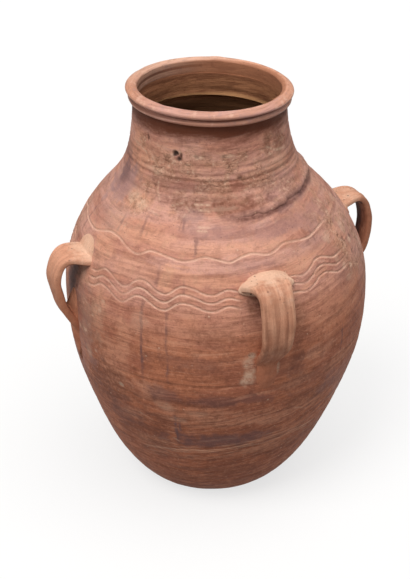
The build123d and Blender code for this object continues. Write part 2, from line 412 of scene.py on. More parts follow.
# Lines that the wheel left: height, half height, depth and the angle of its deepest place
WHEEL_LINES = (
    (640, 2.2, 0.6, -20), (612, 2.8, 0.9, 40), (601, 2, 1, -30), (592, 2.4, 1.7, -10),
    (585, 1.8, 1, 30), (577, 2.6, 1.1, 10), (565, 2.2, 0.8, -60), (530, 2.2, 0.4, 160),
    (297, 1.8, 0.9, -25), (238, 2, 0.4, 20), (196, 1.6, 0.5, -10), (120, 2, 0.5, 60),
    (88, 1.8, 0.5, -40), (62, 1.8, 0.5, 10), (38, 1.6, 0.4, 120),
)
# A pale line scraped round the lower body, as angle and height, and how far above it and how
# strong its companions are
PALE_ARC = (
    (-58.9, 133), (-47.6, 141.6), (-26.5, 150.5), (-13.3, 157), (-0.7, 162), (10.9, 162.9),
    (23.8, 160),
)
ARC_LINES = ((0, 0.8), (-5.5, 0.55), (7, 0.4), (-14, 0.35), (15, 0.3), (-22, 0.25), (24, 0.25))


def round_noise(theta, size, seed, level=0, reach=NOISE_REACH):
    """Unevenness round the jar at one level, looked up in a table."""
    places = around(TABLE_ANGLES, reach, TABLE_ANGLES * 0 + level)
    return np.interp(theta, TABLE_ANGLES, clay_noise(places, size, seed), period=360)


def level_noise(height, angle, size, seed):
    """Unevenness up the jar at one angle, looked up in a table."""
    places = around(TABLE_LEVELS * 0 + angle, NOISE_REACH, TABLE_LEVELS)
    return np.interp(height, TABLE_LEVELS, clay_noise(places, size, seed))


def wheel_lines(theta, height, least, spread):
    """The depth of each of the wheel's lines, and its share at every place."""
    for at, half, depth, angle in WHEEL_LINES:
        here = least + (1 - least) * (0.5 + 0.5 * np.cos(np.radians(theta - angle)))
        wander = at + 1.6 * round_noise(theta, 40, 8, at)
        yield depth, here * bell(height - wander, spread * half)


def spot(theta, height, radius, angle, at, half_width, half_height, soft=0.5, ragged=0.0):
    """1 inside an oval patch and 0 outside it."""
    across = wrapped(theta - angle) * radius * DEGREE / half_width
    away = np.hypot(across, (height - at) / half_height) + ragged
    return 1 - step(away, 1 - soft, 1 + soft)


def hand_work(theta, height, radius):
    """How far the outside stands proud of its smooth outline, where a hand or a tool left it."""
    place = around(theta, 250, height)
    proud = 0.9 * clay_noise(place, 150, 1) + 0.4 * clay_noise(place, 46, 2)
    proud += 0.16 * clay_noise(place, 11, 5)
    rings = around(theta, 70, height * 9)
    lower = 1 - step(height, 150, 330)
    proud += (0.22 + 0.12 * lower) * clay_noise(rings, 42, 6)
    proud += (0.12 + 0.08 * step(height, 560, 590)) * clay_noise(rings, 20, 7)
    for depth, share in wheel_lines(theta, height, 0.45, 1.0):
        proud -= depth * share
    single, comb, single_strength, comb_strength = wave_distances(theta, height, radius)
    cuts = [(single, single_strength)] + [(line, comb_strength) for line in comb]
    for distance, strength in cuts:
        burr = bell(distance - BURR_AT, BURR_HALF) + bell(distance + BURR_AT, BURR_HALF)
        proud += strength * (BURR_HEIGHT * burr - CUT_DEPTH * bell(distance, CUT_HALF))
    for *oval, depth in CHIPS:
        proud -= depth * spot(theta, height, radius, *oval, 0.45)
    crust = crust_share(theta, height, radius)
    return proud + crust * (0.3 + 0.5 * clay_noise(place, 7, 9))


def crust_share(theta, height, radius):
    """Where weathering has left a crust on the clay."""
    place = around(theta, radius, height)
    lumps = clay_noise(place, 21, 41) * 0.6 + clay_noise(place, 8, 42) * 0.4
    share = np.zeros(len(theta))
    for *oval, amount in CRUSTS:
        patch = spot(theta, height, radius, *oval, 0.45, lumps * 0.5)
        share = np.maximum(share, amount * patch)
    return share * step(lumps, -0.35, 0.25)


# Crusts: angle, height, half width, half height and amount
CRUSTS = (
    (-28, 600, 95, 34, 0.75), (20, 596, 60, 36, 0.7), (-66, 594, 40, 34, 0.8),
    (-71, 546, 26, 14, 0.8), (-45, 622, 60, 20, 0.8), (0, 620, 70, 18, 0.7),
    (-80, 622, 30, 22, 0.7), (12, 560, 60, 13, 0.55), (40, 564, 50, 15, 0.6),
    (-45, 552, 60, 12, 0.4), (30, 640, 30, 20, 0.6), (48, 470, 46, 60, 1),
    (40, 528, 40, 26, 0.6), (54, 410, 30, 40, 0.8), (60, 560, 30, 40, 0.5),
    (-80, 400, 40, 60, 0.45), (-88, 340, 40, 40, 0.5), (118, 590, 60, 40, 0.7),
    (150, 500, 70, 50, 0.6), (200, 580, 90, 40, 0.7), (238, 470, 60, 60, 0.6),
    (135, 360, 60, 50, 0.5), (215, 330, 70, 50, 0.4),
)
# Dark drips: angle, highest and lowest point, half width and strength
DRIPS = (
    (-74.2, 531, 507, 2.6, 0.45), (-60.3, 541, 512, 2.8, 0.45), (-39.4, 543, 527, 2.6, 0.4),
    (-32.4, 523, 499, 3, 0.5), (-36, 470, 446, 2.2, 0.3), (-47, 486, 452, 2.2, 0.28),
    (-51.9, 446, 372, 2.2, 0.45), (-51.9, 405, 287, 2.3, 0.72), (-42.2, 432, 352, 2.2, 0.5),
    (-42, 372, 294, 2, 0.58), (-40.5, 238, 156, 2.4, 0.85), (-38.8, 226, 190, 1.8, 0.7),
    (29, 361, 292, 1.4, 0.7), (25.5, 512, 488, 1.8, 0.3), (66, 520, 470, 2.6, 0.5),
    (108, 530, 455, 2.6, 0.55), (126, 440, 300, 2.4, 0.6), (141, 545, 500, 3, 0.5),
    (158, 420, 330, 2.2, 0.55), (196, 535, 480, 2.8, 0.6), (207, 460, 290, 2.5, 0.6),
    (224, 540, 505, 2.6, 0.5), (243, 400, 260, 2.2, 0.5), (-100, 520, 470, 2.5, 0.4),
)
# Patches of tone, by kind: angle, height, half width, half height and strength
PATCHES = {
    "brown": (
        (20, 640, 7, 18, 0.8), (34, 632, 16, 18, 0.7), (48, 618, 14, 16, 0.4),
        (-10, 584, 80, 6, 0.6), (20, 594, 50, 5, 0.5), (-78, 330, 34, 60, 0.3),
        (-72, 245, 44, 50, 0.75), (-55, 170, 50, 40, 0.6), (-30, 262, 60, 8, 0.7),
        (5, 285, 50, 14, 0.4), (30, 505, 50, 14, 0.3), (18, 240, 60, 12, 0.5),
        (30, 330, 50, 14, 0.25), (6, 345, 12, 60, 0.4), (-14.6, 627, 8, 5, 0.8),
        (-4.9, 597, 6, 5, 0.9), (-47.5, 562, 5, 7, 0.6), (-26, 561, 60, 11, 0.5),
        (12, 130, 90, 14, 0.4), (-20, 90, 80, 10, 0.4), (-14, 559, 84, 10, 0.85),
        (-20, 571, 50, 6, 0.45), (22, 566, 40, 9, 0.45), (150, 300, 90, 40, 0.5),
        (215, 220, 80, 50, 0.5), (120, 200, 70, 30, 0.4), (190, 600, 60, 16, 0.5),
        # In these two rows (-94, 404) and (92, 430) are painted shadow in the gaps behind the left
        # and right handles, and (8, 378) is a painted shadow beside the front strap
        (-94, 404, 22, 40, 0.8), (92, 430, 20, 34, 0.8), (250, 340, 60, 50, 0.5),
        (-9, 432, 12, 14, 0.6), (8, 378, 12, 16, 0.5), (-27, 386, 34, 16, 0.35),
        (-28, 326, 44, 12, 0.4), (-26, 620, 24, 12, 0.35), (15, 528, 24, 14, 0.35),
        (-25, 560, 30, 6, 0.25), (-72, 316, 14, 12, 0.35),
    ),
    "warm": (
        (34, 606, 26, 14, 0.45), (-84, 612, 36, 28, 0.5), (47, 462, 40, 50, 0.4),
        (-84, 300, 30, 46, 0.35), (-72, 550, 24, 13, 0.8), (-84, 538, 26, 10, 0.6),
        (-58, 515, 60, 10, 0.5), (-80, 478, 40, 20, 0.5), (-25, 470, 50, 9, 0.6),
        (-62, 209, 28, 14, 0.4), (-54, 150, 34, 16, 0.5), (-1, 137, 44, 10, 0.4),
        (16, 226, 34, 12, 0.3), (15, 328, 26, 12, 0.45), (7, 286, 30, 12, 0.45),
        (8, 404, 8, 22, 0.4), (-78, 603, 22, 20, 0.45), (25, 603, 18, 16, 0.4),
        (-44, 467, 14, 15, 0.8), (-30, 232, 60, 20, 0.4), (-72, 380, 16, 44, 0.5),
        (-60, 345, 14, 50, 0.45), (-50, 275, 30, 18, 0.5), (-5, 215, 60, 10, 0.5),
        (10, 480, 40, 12, 0.5), (-25, 615, 60, 8, 0.35), (30, 290, 40, 14, 0.35),
        (-20, 508, 110, 8, 0.5), (-60, 470, 60, 16, 0.4), (5, 474, 60, 10, 0.55),
        (-35, 400, 80, 40, 0.2), (-66, 300, 30, 50, 0.45), (20, 400, 60, 30, 0.2),
        (-10, 225, 90, 14, 0.3), (130, 480, 90, 20, 0.5), (210, 440, 90, 24, 0.4),
    ),
    # Painted shadow in the gap between the left handle's strap and the wall
    "recess_shade": (
        (-91, 425, 15, 12, 0.5), (-93, 402, 14, 16, 0.5),
    ),
    "dark": (
        (-24, 176, 78, 13, 0.62), (-8, 182, 34, 9, 0.5), (-80, 330, 26, 46, 0.15),
        (-66, 205, 34, 30, 0.2), (-50, 120, 40, 26, 0.1), (-44, 276, 26, 12, 0.4),
        (-22, 268, 90, 9, 0.35), (12, 280, 70, 16, 0.12), (35, 440, 26, 30, 0.2),
        (4, 318, 40, 20, 0.2), (-30, 340, 70, 10, 0.22), (15, 545, 70, 6, 0.35),
        (40, 550, 60, 6, 0.45), (-50, 585, 60, 7, 0.25), (140, 250, 90, 30, 0.4),
        (205, 170, 80, 24, 0.5), (180, 330, 80, 40, 0.3), (240, 600, 50, 14, 0.35),
        (100, 150, 80, 20, 0.4), (-96, 575, 14, 22, 0.5),
    ),
    "grey": (
        (-92, 380, 30, 50, 0.6), (-93, 556, 40, 26, 0.9), (-84, 520, 40, 20, 0.3),
        (-20, 528, 70, 8, 0.45), (-36, 547, 22, 8, 0.7), (-88, 470, 20, 20, 0.5),
        (10, 524, 70, 11, 0.5), (38, 522, 50, 14, 0.5), (27, 560, 40, 26, 0.35),
        (-5, 486, 60, 7, 0.35), (20, 490, 50, 8, 0.3), (-85, 375, 34, 60, 0.3),
        (52, 440, 34, 60, 0.45), (33, 250, 50, 20, 0.3), (-90, 300, 44, 60, 0.45),
        (48, 215, 60, 26, 0.4), (160, 540, 90, 22, 0.5), (225, 400, 60, 60, 0.35),
        (115, 300, 70, 26, 0.3),
    ),
    "pale": (
        (-44, 467, 9, 11, 0.1), (-76, 553, 13, 8, 0.5), (-68, 547, 12, 6, 0.45),
        (-62.5, 267, 4.5, 3.4, 0.9), (-11.7, 353, 5, 4, 1), (-13.3, 338, 8, 11, 0.6),
        (-12.6, 316, 10, 14, 0.75), (-2.3, 324, 4, 14, 0.5), (-44, 248, 16, 7, 0.25),
        (-31, 240, 14, 6, 0.22), (-39, 221, 13, 6, 0.22), (-53, 398, 14, 12, 0.2),
        (-47.4, 632, 8, 2.5, 0.8), (-52, 625, 3, 5, 0.5), (60, 435, 6, 12, 0.55),
        (33, 488, 9, 7, 0.45), (49, 461, 6, 5, 0.7), (36, 439, 5, 5, 0.6), (41, 432, 5, 4, 0.5),
        (62, 509, 10, 9, 0.55), (48.5, 481, 6, 10, 0.45), (37, 420, 11, 4, 0.3),
        (33, 455, 5, 6, 0.3), (-70, 407, 3.5, 3, 0.6), (-71.5, 391, 4, 5, 0.55),
        (-75.5, 374, 4, 3, 0.7), (-81, 336, 5, 3, 0.8), (-85.5, 336, 4, 4, 0.6),
        (-75, 309, 4, 3, 0.5), (-85, 434, 9, 10, 0.45), (-78, 352, 5, 4, 0.4),
        (-76, 368, 30, 38, 0.16), (-78, 512, 44, 16, 0.2), (26, 604, 28, 12, 0.25),
        (128, 470, 8, 6, 0.5), (146, 420, 5, 8, 0.45), (197, 380, 6, 5, 0.5),
        (231, 450, 7, 6, 0.45), (112, 350, 5, 4, 0.5), (168, 480, 12, 6, 0.3),
        (-20, 556, 30, 3, 0.3), (-66, 598, 22, 5, 0.4), (-33, 628, 8, 3, 0.6),
        (-12, 630, 12, 3, 0.5), (-80, 300, 8, 10, 0.4), (-88, 352, 8, 8, 0.4),
    ),
}
# A patch narrower than this has a cleaner edge
SMALL_PATCH = 9


def all_scratches():
    """The measured scratches, and others strewn over the whole jar."""
    chance = np.random.default_rng(71)
    found = list(SCRATCHES)
    for _ in range(SCRATCH_COUNT):
        angle, at = chance.uniform(-180, 180), chance.uniform(120, 640)
        across, up = chance.uniform(2, 7), chance.uniform(-9, 9)
        strength = chance.uniform(0.2, 0.6) * chance.choice((1, 1, -1))
        found.append((angle, at, angle + across, at + up, 1.2, strength))
    return found


def scratch_shares(theta, height, radius):
    """Pale and dark scratches, as shares."""
    pale, dark = np.zeros(len(theta)), np.zeros(len(theta))
    low, high = height.min() - 20, height.max() + 20
    scale = radius * DEGREE
    for first, start, last, end, half, strength in all_scratches():
        if max(start, end) < low or min(start, end) > high:
            continue
        across, up = wrapped(theta - first) * scale, height - start
        run_across, run_up = (last - first) * scale, end - start
        share = (across * run_across + up * run_up) / (run_across**2 + run_up**2)
        share = np.clip(share, 0, 1)
        away = np.hypot(across - share * run_across, up - share * run_up)
        line = 1 - step(away, 0.4 * half, 1.8 * half)
        line *= 0.6 + 0.4 * np.sin(share * math.pi * 3) ** 2
        kind = pale if strength > 0 else dark
        np.maximum(kind, abs(strength) * line, out=kind)
    return pale, dark


def stain_shares(theta, height, radius):
    """How dark, grey, pale, warm and brown the clay is at each place, from its marks, and where
    painted shade lies in chips and behind the left handle.
    """
    shares = {kind: np.zeros(len(theta)) for kind in PATCHES}

    def lay(kind, share):
        shares[kind] = np.maximum(shares[kind], share)

    place = around(theta, radius, height)
    ragged = 0.45 * clay_noise(place, 16, 51) + 0.3 * clay_noise(place, 6, 52)
    for kind, patches in PATCHES.items():
        for *oval, strength in patches:
            edge = ragged * (0.7 if min(oval[2:]) < SMALL_PATCH else 1.2)
            lay(kind, strength * spot(theta, height, radius, *oval, 0.5, edge))
    worn = step(clay_noise(place, 6, 55), -0.6, 0.2)
    for angle, top, bottom, half_width, strength in DRIPS:
        wander = angle + 0.35 * level_noise(height, angle, 13, 53)
        across = np.abs(wrapped(theta - wander)) * radius * DEGREE
        width = half_width * (1 + 0.5 * level_noise(height, angle, 7, 54))
        fade = 0.3 * (top - bottom)
        line = 1 - step(across, 0.3 * width, 1.5 * width)
        line *= window(height, bottom - 4, bottom + fade, top - fade, top + 4)
        lay("dark", strength * line * (0.35 + 0.65 * worn))
    arc = np.interp(theta, *np.array(PALE_ARC).T)
    reach = window(theta, -66, -52, 20, 30)
    for drop, amount in ARC_LINES:
        wander = 1.5 * round_noise(theta, 12, 80 + int(drop))
        broken = step(round_noise(theta, 9, 57, drop * 9), -0.4, 0.3)
        line = amount * bell(height - arc - drop - wander, 1.3) * reach * broken
        lay("pale", 0.6 * line)
        lay("warm", 1.2 * line)
    # Painted shade in the hollow of each chip
    for angle, at, half_width, half_height, depth in CHIPS:
        oval = (angle, at - 0.5, half_width, half_height)
        recess_shade = spot(theta, height, radius, *oval, 0.35, 1.1 * ragged)
        lay("recess_shade", recess_shade * min(1.0, 0.35 * depth))
    # A painted shadow under the seam strip's lower edge
    under = bell(height - seam_edge(theta) + 2.5, 3.0) * window(theta, -24, -6, 80, 98)
    lay("brown", 0.95 * under)
    lay("dark", 0.3 * under)
    # Painted shade in the wheel's grooves, darker where they are deeper
    for depth, share in wheel_lines(theta, height, 0.4, 1.2):
        lay("brown", share * min(1.0, 0.45 * depth) * (0.6 + 0.4 * worn))
    pale, dark = scratch_shares(theta, height, radius)
    lay("pale", pale)
    lay("brown", dark)
    return shares


# The seam strip: its lower edge as angle and height, where it starts, how far it turns, its width,
# how far its ends taper, and the plain band it is spun as
SEAM_EDGE = (
    (-22, 547), (-18.4, 545.8), (-5.8, 543.1), (8.4, 544.2), (21.8, 546.9), (37.8, 549.9),
    (52.4, 553), (100, 549),
)
SEAM_START, SEAM_TURN, SEAM_WIDTH, SEAM_TAPER = -19.0, 118.0, 25.0, 16
BAND_LOW, BAND_HEIGHT, BAND_ROWS, BAND_COLUMNS = 500, 50, 15, 300


def seam_edge(theta):
    """Height of the seam strip's lower edge at an angle."""
    return np.interp(theta, *np.array(SEAM_EDGE).T)


def settle(points):
    """Lean the jar as it stands in the photograph and tip its rim a little."""
    east, north = LEAN_WAY
    heights = np.clip(points[:, 2], 0, JAR_HEIGHT)
    shift = smooth_through(LEAN_HEIGHTS, LEAN_SHIFTS, heights)
    right = points[:, 0] * east + points[:, 1] * north
    away = -points[:, 0] * north + points[:, 1] * east
    tip = step(heights, RIM_TIP_FROM, RIM_TIP_FULL)
    moved = points.copy()
    moved[:, 0] += shift * east
    moved[:, 1] += shift * north
    moved[:, 2] += tip * (RIM_TIP[0] * right + RIM_TIP[1] * away)
    return moved


def read_points(mesh):
    """A mesh's vertices, in millimetres."""
    points = np.zeros(len(mesh.vertices) * 3)
    mesh.vertices.foreach_get("co", points)
    return points.reshape(-1, 3) / MM


def place_points(mesh, points):
    """Put a mesh's vertices at points in millimetres."""
    mesh.vertices.foreach_set("co", (points * MM).ravel())
    mesh.update()


def add_values(mesh, name, *columns):
    """Keep up to three values for each vertex, for the clay to read."""
    values = np.zeros((len(mesh.vertices), 3), np.float32)
    values[:, : len(columns)] = np.column_stack(columns)
    mesh.attributes.new(name, "FLOAT_VECTOR", "POINT").data.foreach_set("vector", values.ravel())


def deselect():
    """Leave nothing selected, so that the next operator acts on its own piece alone."""
    bpy.ops.object.select_all(action="DESELECT")


def take_up(piece):
    """Select one piece alone and make it the active one."""
    deselect()
    piece.select_set(True)
    bpy.context.view_layer.objects.active = piece


def face_outwards():
    """Turn the faces of the mesh that is being edited outwards, and leave edit mode."""
    bpy.ops.mesh.select_all(action="SELECT")
    bpy.ops.mesh.normals_make_consistent(inside=False)
    bpy.ops.object.mode_set(mode="OBJECT")


def close_up(fill):
    """Join the active mesh's double vertices, and fill its holes where that is asked."""
    bpy.ops.object.mode_set(mode="EDIT")
    bpy.ops.mesh.select_all(action="SELECT")
    bpy.ops.mesh.remove_doubles(threshold=MERGE_REACH)
    if fill:
        bpy.ops.mesh.fill_holes(sides=0)
    face_outwards()


def finish_piece(piece, name, finish, nodes, slot, sharp=40):
    """Name a finished piece, smooth it, give it its clay and fix it to the jar."""
    piece.name = piece.data.name = name
    piece.data.materials.clear()
    piece.data.materials.append(bpy.data.materials[finish])
    take_up(piece)
    bpy.ops.object.shade_smooth_by_angle(angle=math.radians(sharp))
    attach(piece, "root")
    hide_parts(*nodes)


def spun(outline, columns, start=0.0, turn=360.0):
    """Spin a closed outline, of radius and height, round the jar's axis."""
    deselect()
    bpy.ops.mesh.primitive_circle_add(vertices=len(outline), radius=0.1)
    piece = bpy.context.object
    place_points(piece.data, around(start, *np.array(outline, float).T))
    apply_modifier(
        piece, "SCREW", angle=math.radians(turn), steps=columns, render_steps=columns,
        use_merge_vertices=turn == 360, merge_threshold=MERGE_REACH,
    )
    close_up(turn < 360)
    return piece


def face_run(face, low, high, spacing):
    """Points along one face of the wall between two heights, spaced as its own places ask."""
    inside = face[(face[:, 1] > low) & (face[:, 1] < high)]
    ends = [[np.interp(height, face[:, 1], face[:, 0]), height] for height in (low, high)]
    run = np.vstack((ends[0], inside, ends[1]))
    lengths = np.hypot(*np.diff(run, axis=0).T)
    middle = (run[1:, 1] + run[:-1, 1]) / 2
    wanted = np.concatenate(([0], np.cumsum(lengths / spacing(middle))))
    marks = np.linspace(0, wanted[-1], max(2, int(round(wanted[-1])) + 1))
    return read_along(run, wanted, marks)


def outer_spacing(height):
    """Rows lie close where the waves are cut and where the neck shows its wheel lines."""
    return 2.7 - 1.35 * window(height, 404, 412, 512, 520) - 0.8 * step(height, 560, 575)


def inner_spacing(height):
    """The inside only shows near the mouth."""
    return np.where(height > 500, 3.5, 13.0)


def joint_heights(stage):
    """Outer and inner height of the joint on top of a stage of the wall."""
    top = STAGE_TOPS[stage]
    if stage in (0, len(STAGE_TOPS) - 1):
        return top, top
    share = np.interp(top, OUTER[:, 1], np.linspace(0, 1, len(OUTER)))
    return top, top - wall_normal(top)[1] * wall_thickness(share) + LAP_RISE


def shape_wall(piece):
    """Work the smooth clay over: hand marks outside, throwing rings inside, and the lean."""
    points = read_points(piece.data)
    theta, radius, height = polar(points)
    outer, inner = wall_radius(height), inner_radius(height)
    outside = np.clip((radius - inner) / np.maximum(outer - inner, 1.0), 0, 1)
    within, neck = 1 - step(outside, 0.0, 0.5), step(height, 560, 600)
    proud = hand_work(theta, height, outer) * step(outside, 0.4, 0.98)
    rings = around(theta, NOISE_REACH, height * 6)
    proud += within * (0.9 * clay_noise(rings, 44, 11) + 0.4 * clay_noise(rings, 22, 12))
    ledge = height - INNER_LEDGE - 1.2 * round_noise(theta, 40, 13)
    recess = (1 - step(ledge, -3.0, 0.5)) * neck * LEDGE_DEPTH - 1.2 * bell(ledge - 2.5, 2.5)
    proud += within * recess * neck
    flat = step(height, 2.0, 12.0)
    out, up = wall_normal(height)
    direction = points[:, :2] / np.maximum(radius, 1e-6)[:, None]
    worked = points.copy()
    worked[:, :2] += direction * (proud * out * flat)[:, None]
    worked[:, 2] += proud * up * flat
    seen, inside = step(outside, 0.8, 0.98), 1 - step(outside, 0.3, 0.7)
    keep_marks(piece.data, theta, height, outer, seen, inside)
    place_points(piece.data, settle(worked))


def keep_marks(mesh, theta, height, radius, seen, inside, waved=1.0):
    """Keep the waves, stains, weathering and painted shade for the clay to read."""
    single, comb, single_strength, comb_strength = wave_distances(theta, height, radius)
    strong = seen * waved
    add_values(mesh, "waves", single, comb[0], comb[1])
    add_values(mesh, "wave_strengths", comb[2], single_strength * strong, comb_strength * strong)
    shares = stain_shares(theta, height, radius)
    stains = {kind: share * seen for kind, share in shares.items()}
    add_values(mesh, "stains", stains["dark"], stains["grey"], stains["pale"])
    crust = crust_share(theta, height, radius)
    add_values(mesh, "weather", crust * seen, stains["warm"], inside)
    add_values(mesh, "marks", stains["brown"], stains["recess_shade"])


class Value:
    """A socket that Python arithmetic adds Math nodes to."""

    def __init__(self, clay, socket):
        self.clay, self.socket = clay, socket

    def __add__(self, other):
        return self.clay.math("ADD", self, other)

    def __sub__(self, other):
        return self.clay.math("SUBTRACT", self, other)

    def __rsub__(self, other):
        return self.clay.math("SUBTRACT", other, self)

    def __mul__(self, other):
        return self.clay.math("MULTIPLY", self, other)

    def __truediv__(self, other):
        return self.clay.math("DIVIDE", self, other)

    __radd__, __rmul__ = __add__, __mul__


class Clay:
    """A clay finish, made of nodes that one method adds. Its colour is built up coat by coat."""

    def __init__(self, name):
        self.material = bpy.data.materials.new(name)
        self.material.use_nodes = True
        self.tree = self.material.node_tree
        self.tree.nodes.clear()
        self.colour = None

    def add(self, kind, settings, sockets):
        """Add a node of a kind, with its settings, and values or links for its sockets."""
        made = self.tree.nodes.new(kind)
        for name, value in settings.items():
            setattr(made, name, value)
        for name, value in sockets.items():
            if isinstance(value, Value):
                self.tree.links.new(value.socket, made.inputs[name])
            else:
                made.inputs[name].default_value = value
        return made

    def take(self, kind, settings, sockets, output=0):
        """Add a node and take one of its outputs."""
        return Value(self, self.add(kind, settings, sockets).outputs[output])

    def math(self, operation, *values):
        """A Math node on its values."""
        return self.take("ShaderNodeMath", {"operation": operation}, dict(enumerate(values)))

    def least(self, first, second):
        """The smaller of two values."""
        return self.math("MINIMUM", first, second)

    def most(self, first, second):
        """The larger of two values."""
        return self.math("MAXIMUM", first, second)

    def size(self, value):
        """A value without its sign."""
        return self.math("ABSOLUTE", value)

    def rise(self, value, low, high):
        """0 below low, 1 above high and a smooth rise between them."""
        sockets = {"Value": value, "From Min": low, "From Max": high}
        return self.take("ShaderNodeMapRange", {"interpolation_type": "SMOOTHSTEP"}, sockets)

    def fall(self, value, low, high):
        """1 below low, 0 above high and a smooth fall between them."""
        return 1 - self.rise(value, low, high)

    def mix(self, share, first, second):
        """Mix two colours."""
        settings = {"data_type": "RGBA", "clamp_factor": True}
        first, second = (c if isinstance(c, Value) else (*c[:3], 1.0) for c in (first, second))
        return self.take("ShaderNodeMix", settings, {0: share, 6: first, 7: second}, 2)

    def coat(self, *coats):
        """Lay colours over what is there, in order, each after its share."""
        for share, colour in coats:
            self.colour = self.mix(share, self.colour, colour)

    def noise(self, place, size, detail, roughness):
        """Cloudy unevenness about 0.5, in clouds of a size."""
        sockets = {"Vector": place, "Scale": 1 / size, "Detail": detail, "Roughness": roughness}
        return self.take("ShaderNodeTexNoise", {}, sockets)

    def streaks(self, ring, round_rate, up_rate, detail, roughness):
        """Unevenness drawn out round the jar, from ring places and its rates round it and up it."""
        east, south, raised = ring
        place = self.join(east * round_rate, south * round_rate, raised * up_rate)
        return self.noise(place, 1.0, detail, roughness)

    def parts(self, vector):
        """The three values in a vector."""
        made = self.add("ShaderNodeSeparateXYZ", {}, {0: vector})
        return [Value(self, socket) for socket in made.outputs]

    def join(self, x, y, z):
        """A vector of three values."""
        return self.take("ShaderNodeCombineXYZ", {}, {0: x, 1: y, 2: z})

    def kept(self, name):
        """The three values that the mesh keeps under a name."""
        return self.parts(self.take("ShaderNodeAttribute", {"attribute_name": name}, {}, 1))

    def place(self):
        """The place on the jar, in millimetres, as a vector and as its three values."""
        here = self.take("ShaderNodeTexCoord", {}, {}, 3)
        sockets = {0: here, "Scale": 1 / MM}
        scaled = self.take("ShaderNodeVectorMath", {"operation": "SCALE"}, sockets)
        return scaled, self.parts(scaled)

    def cells(self, place, size, **settings):
        """Distances in a pattern of round cells."""
        sockets = {"Vector": place, "Scale": 1 / size, "Randomness": 1.0}
        return self.take("ShaderNodeTexVoronoi", settings, sockets)

    def specks(self, place, size, low, high):
        """Small round specks: 1 in their middle."""
        return self.fall(self.cells(place, size), low, high)

    def close(self, roughness, height, specular):
        """Finish with the shader, its bump in millimetres."""
        sockets = {"Strength": 1.0, "Distance": 1.0, "Height": height * MM}
        sockets = {
            "Base Color": self.colour, "Roughness": roughness, "Specular IOR Level": specular,
            "Normal": self.take("ShaderNodeBump", {}, sockets),
        }
        shader = self.take("ShaderNodeBsdfPrincipled", {}, sockets)
        self.add("ShaderNodeOutputMaterial", {}, {"Surface": shader})


def ring_places(clay, values, tilt, steep=0.0):
    """Places for marks that run round the jar and tilt with it: east, south and raised height."""
    x, y, z = values
    reach = clay.math("SQRT", x * x + y * y + 1.0)
    east, south = x / reach, y / reach
    leaning = east * LEAN_WAY[0] + south * LEAN_WAY[1]
    rising = clay.most(leaning, 0.0)
    return east, south, z - leaning * tilt - rising * rising * steep


def inside_colour(clay, colours, z, streaks, mottle):
    """The inside: red brown under the lip, a painted highlight on the ledge's edge and painted
    shade below it.
    """
    level = z + (streaks - 0.5) * 5.0
    # A painted highlight along the ledge's edge
    on_ledge = clay.rise(level, INNER_LEDGE - 5.0, INNER_LEDGE)
    ledge = on_ledge * clay.fall(level, INNER_LEDGE + 2.0, INNER_LEDGE + 7.0)
    upper = clay.mix(clay.rise(streaks, 0.38, 0.62), colours.inside_light, colours.inside_dark)
    for share, colour in (
        (clay.rise(z, 655.0, 690.0) * 0.6, colours.inside_red),
        (clay.rise(mottle, 0.55, 0.7) * 0.3, colours.shade),
        (ledge * 0.7, colours.ledge_highlight),
    ):
        upper = clay.mix(share, upper, colour)
    # Painted shade deep inside, below the ledge
    deep = clay.rise(level, INNER_LEDGE - 12.0, INNER_LEDGE - 3.0)
    return clay.mix(deep, colours.inside_shade, upper)


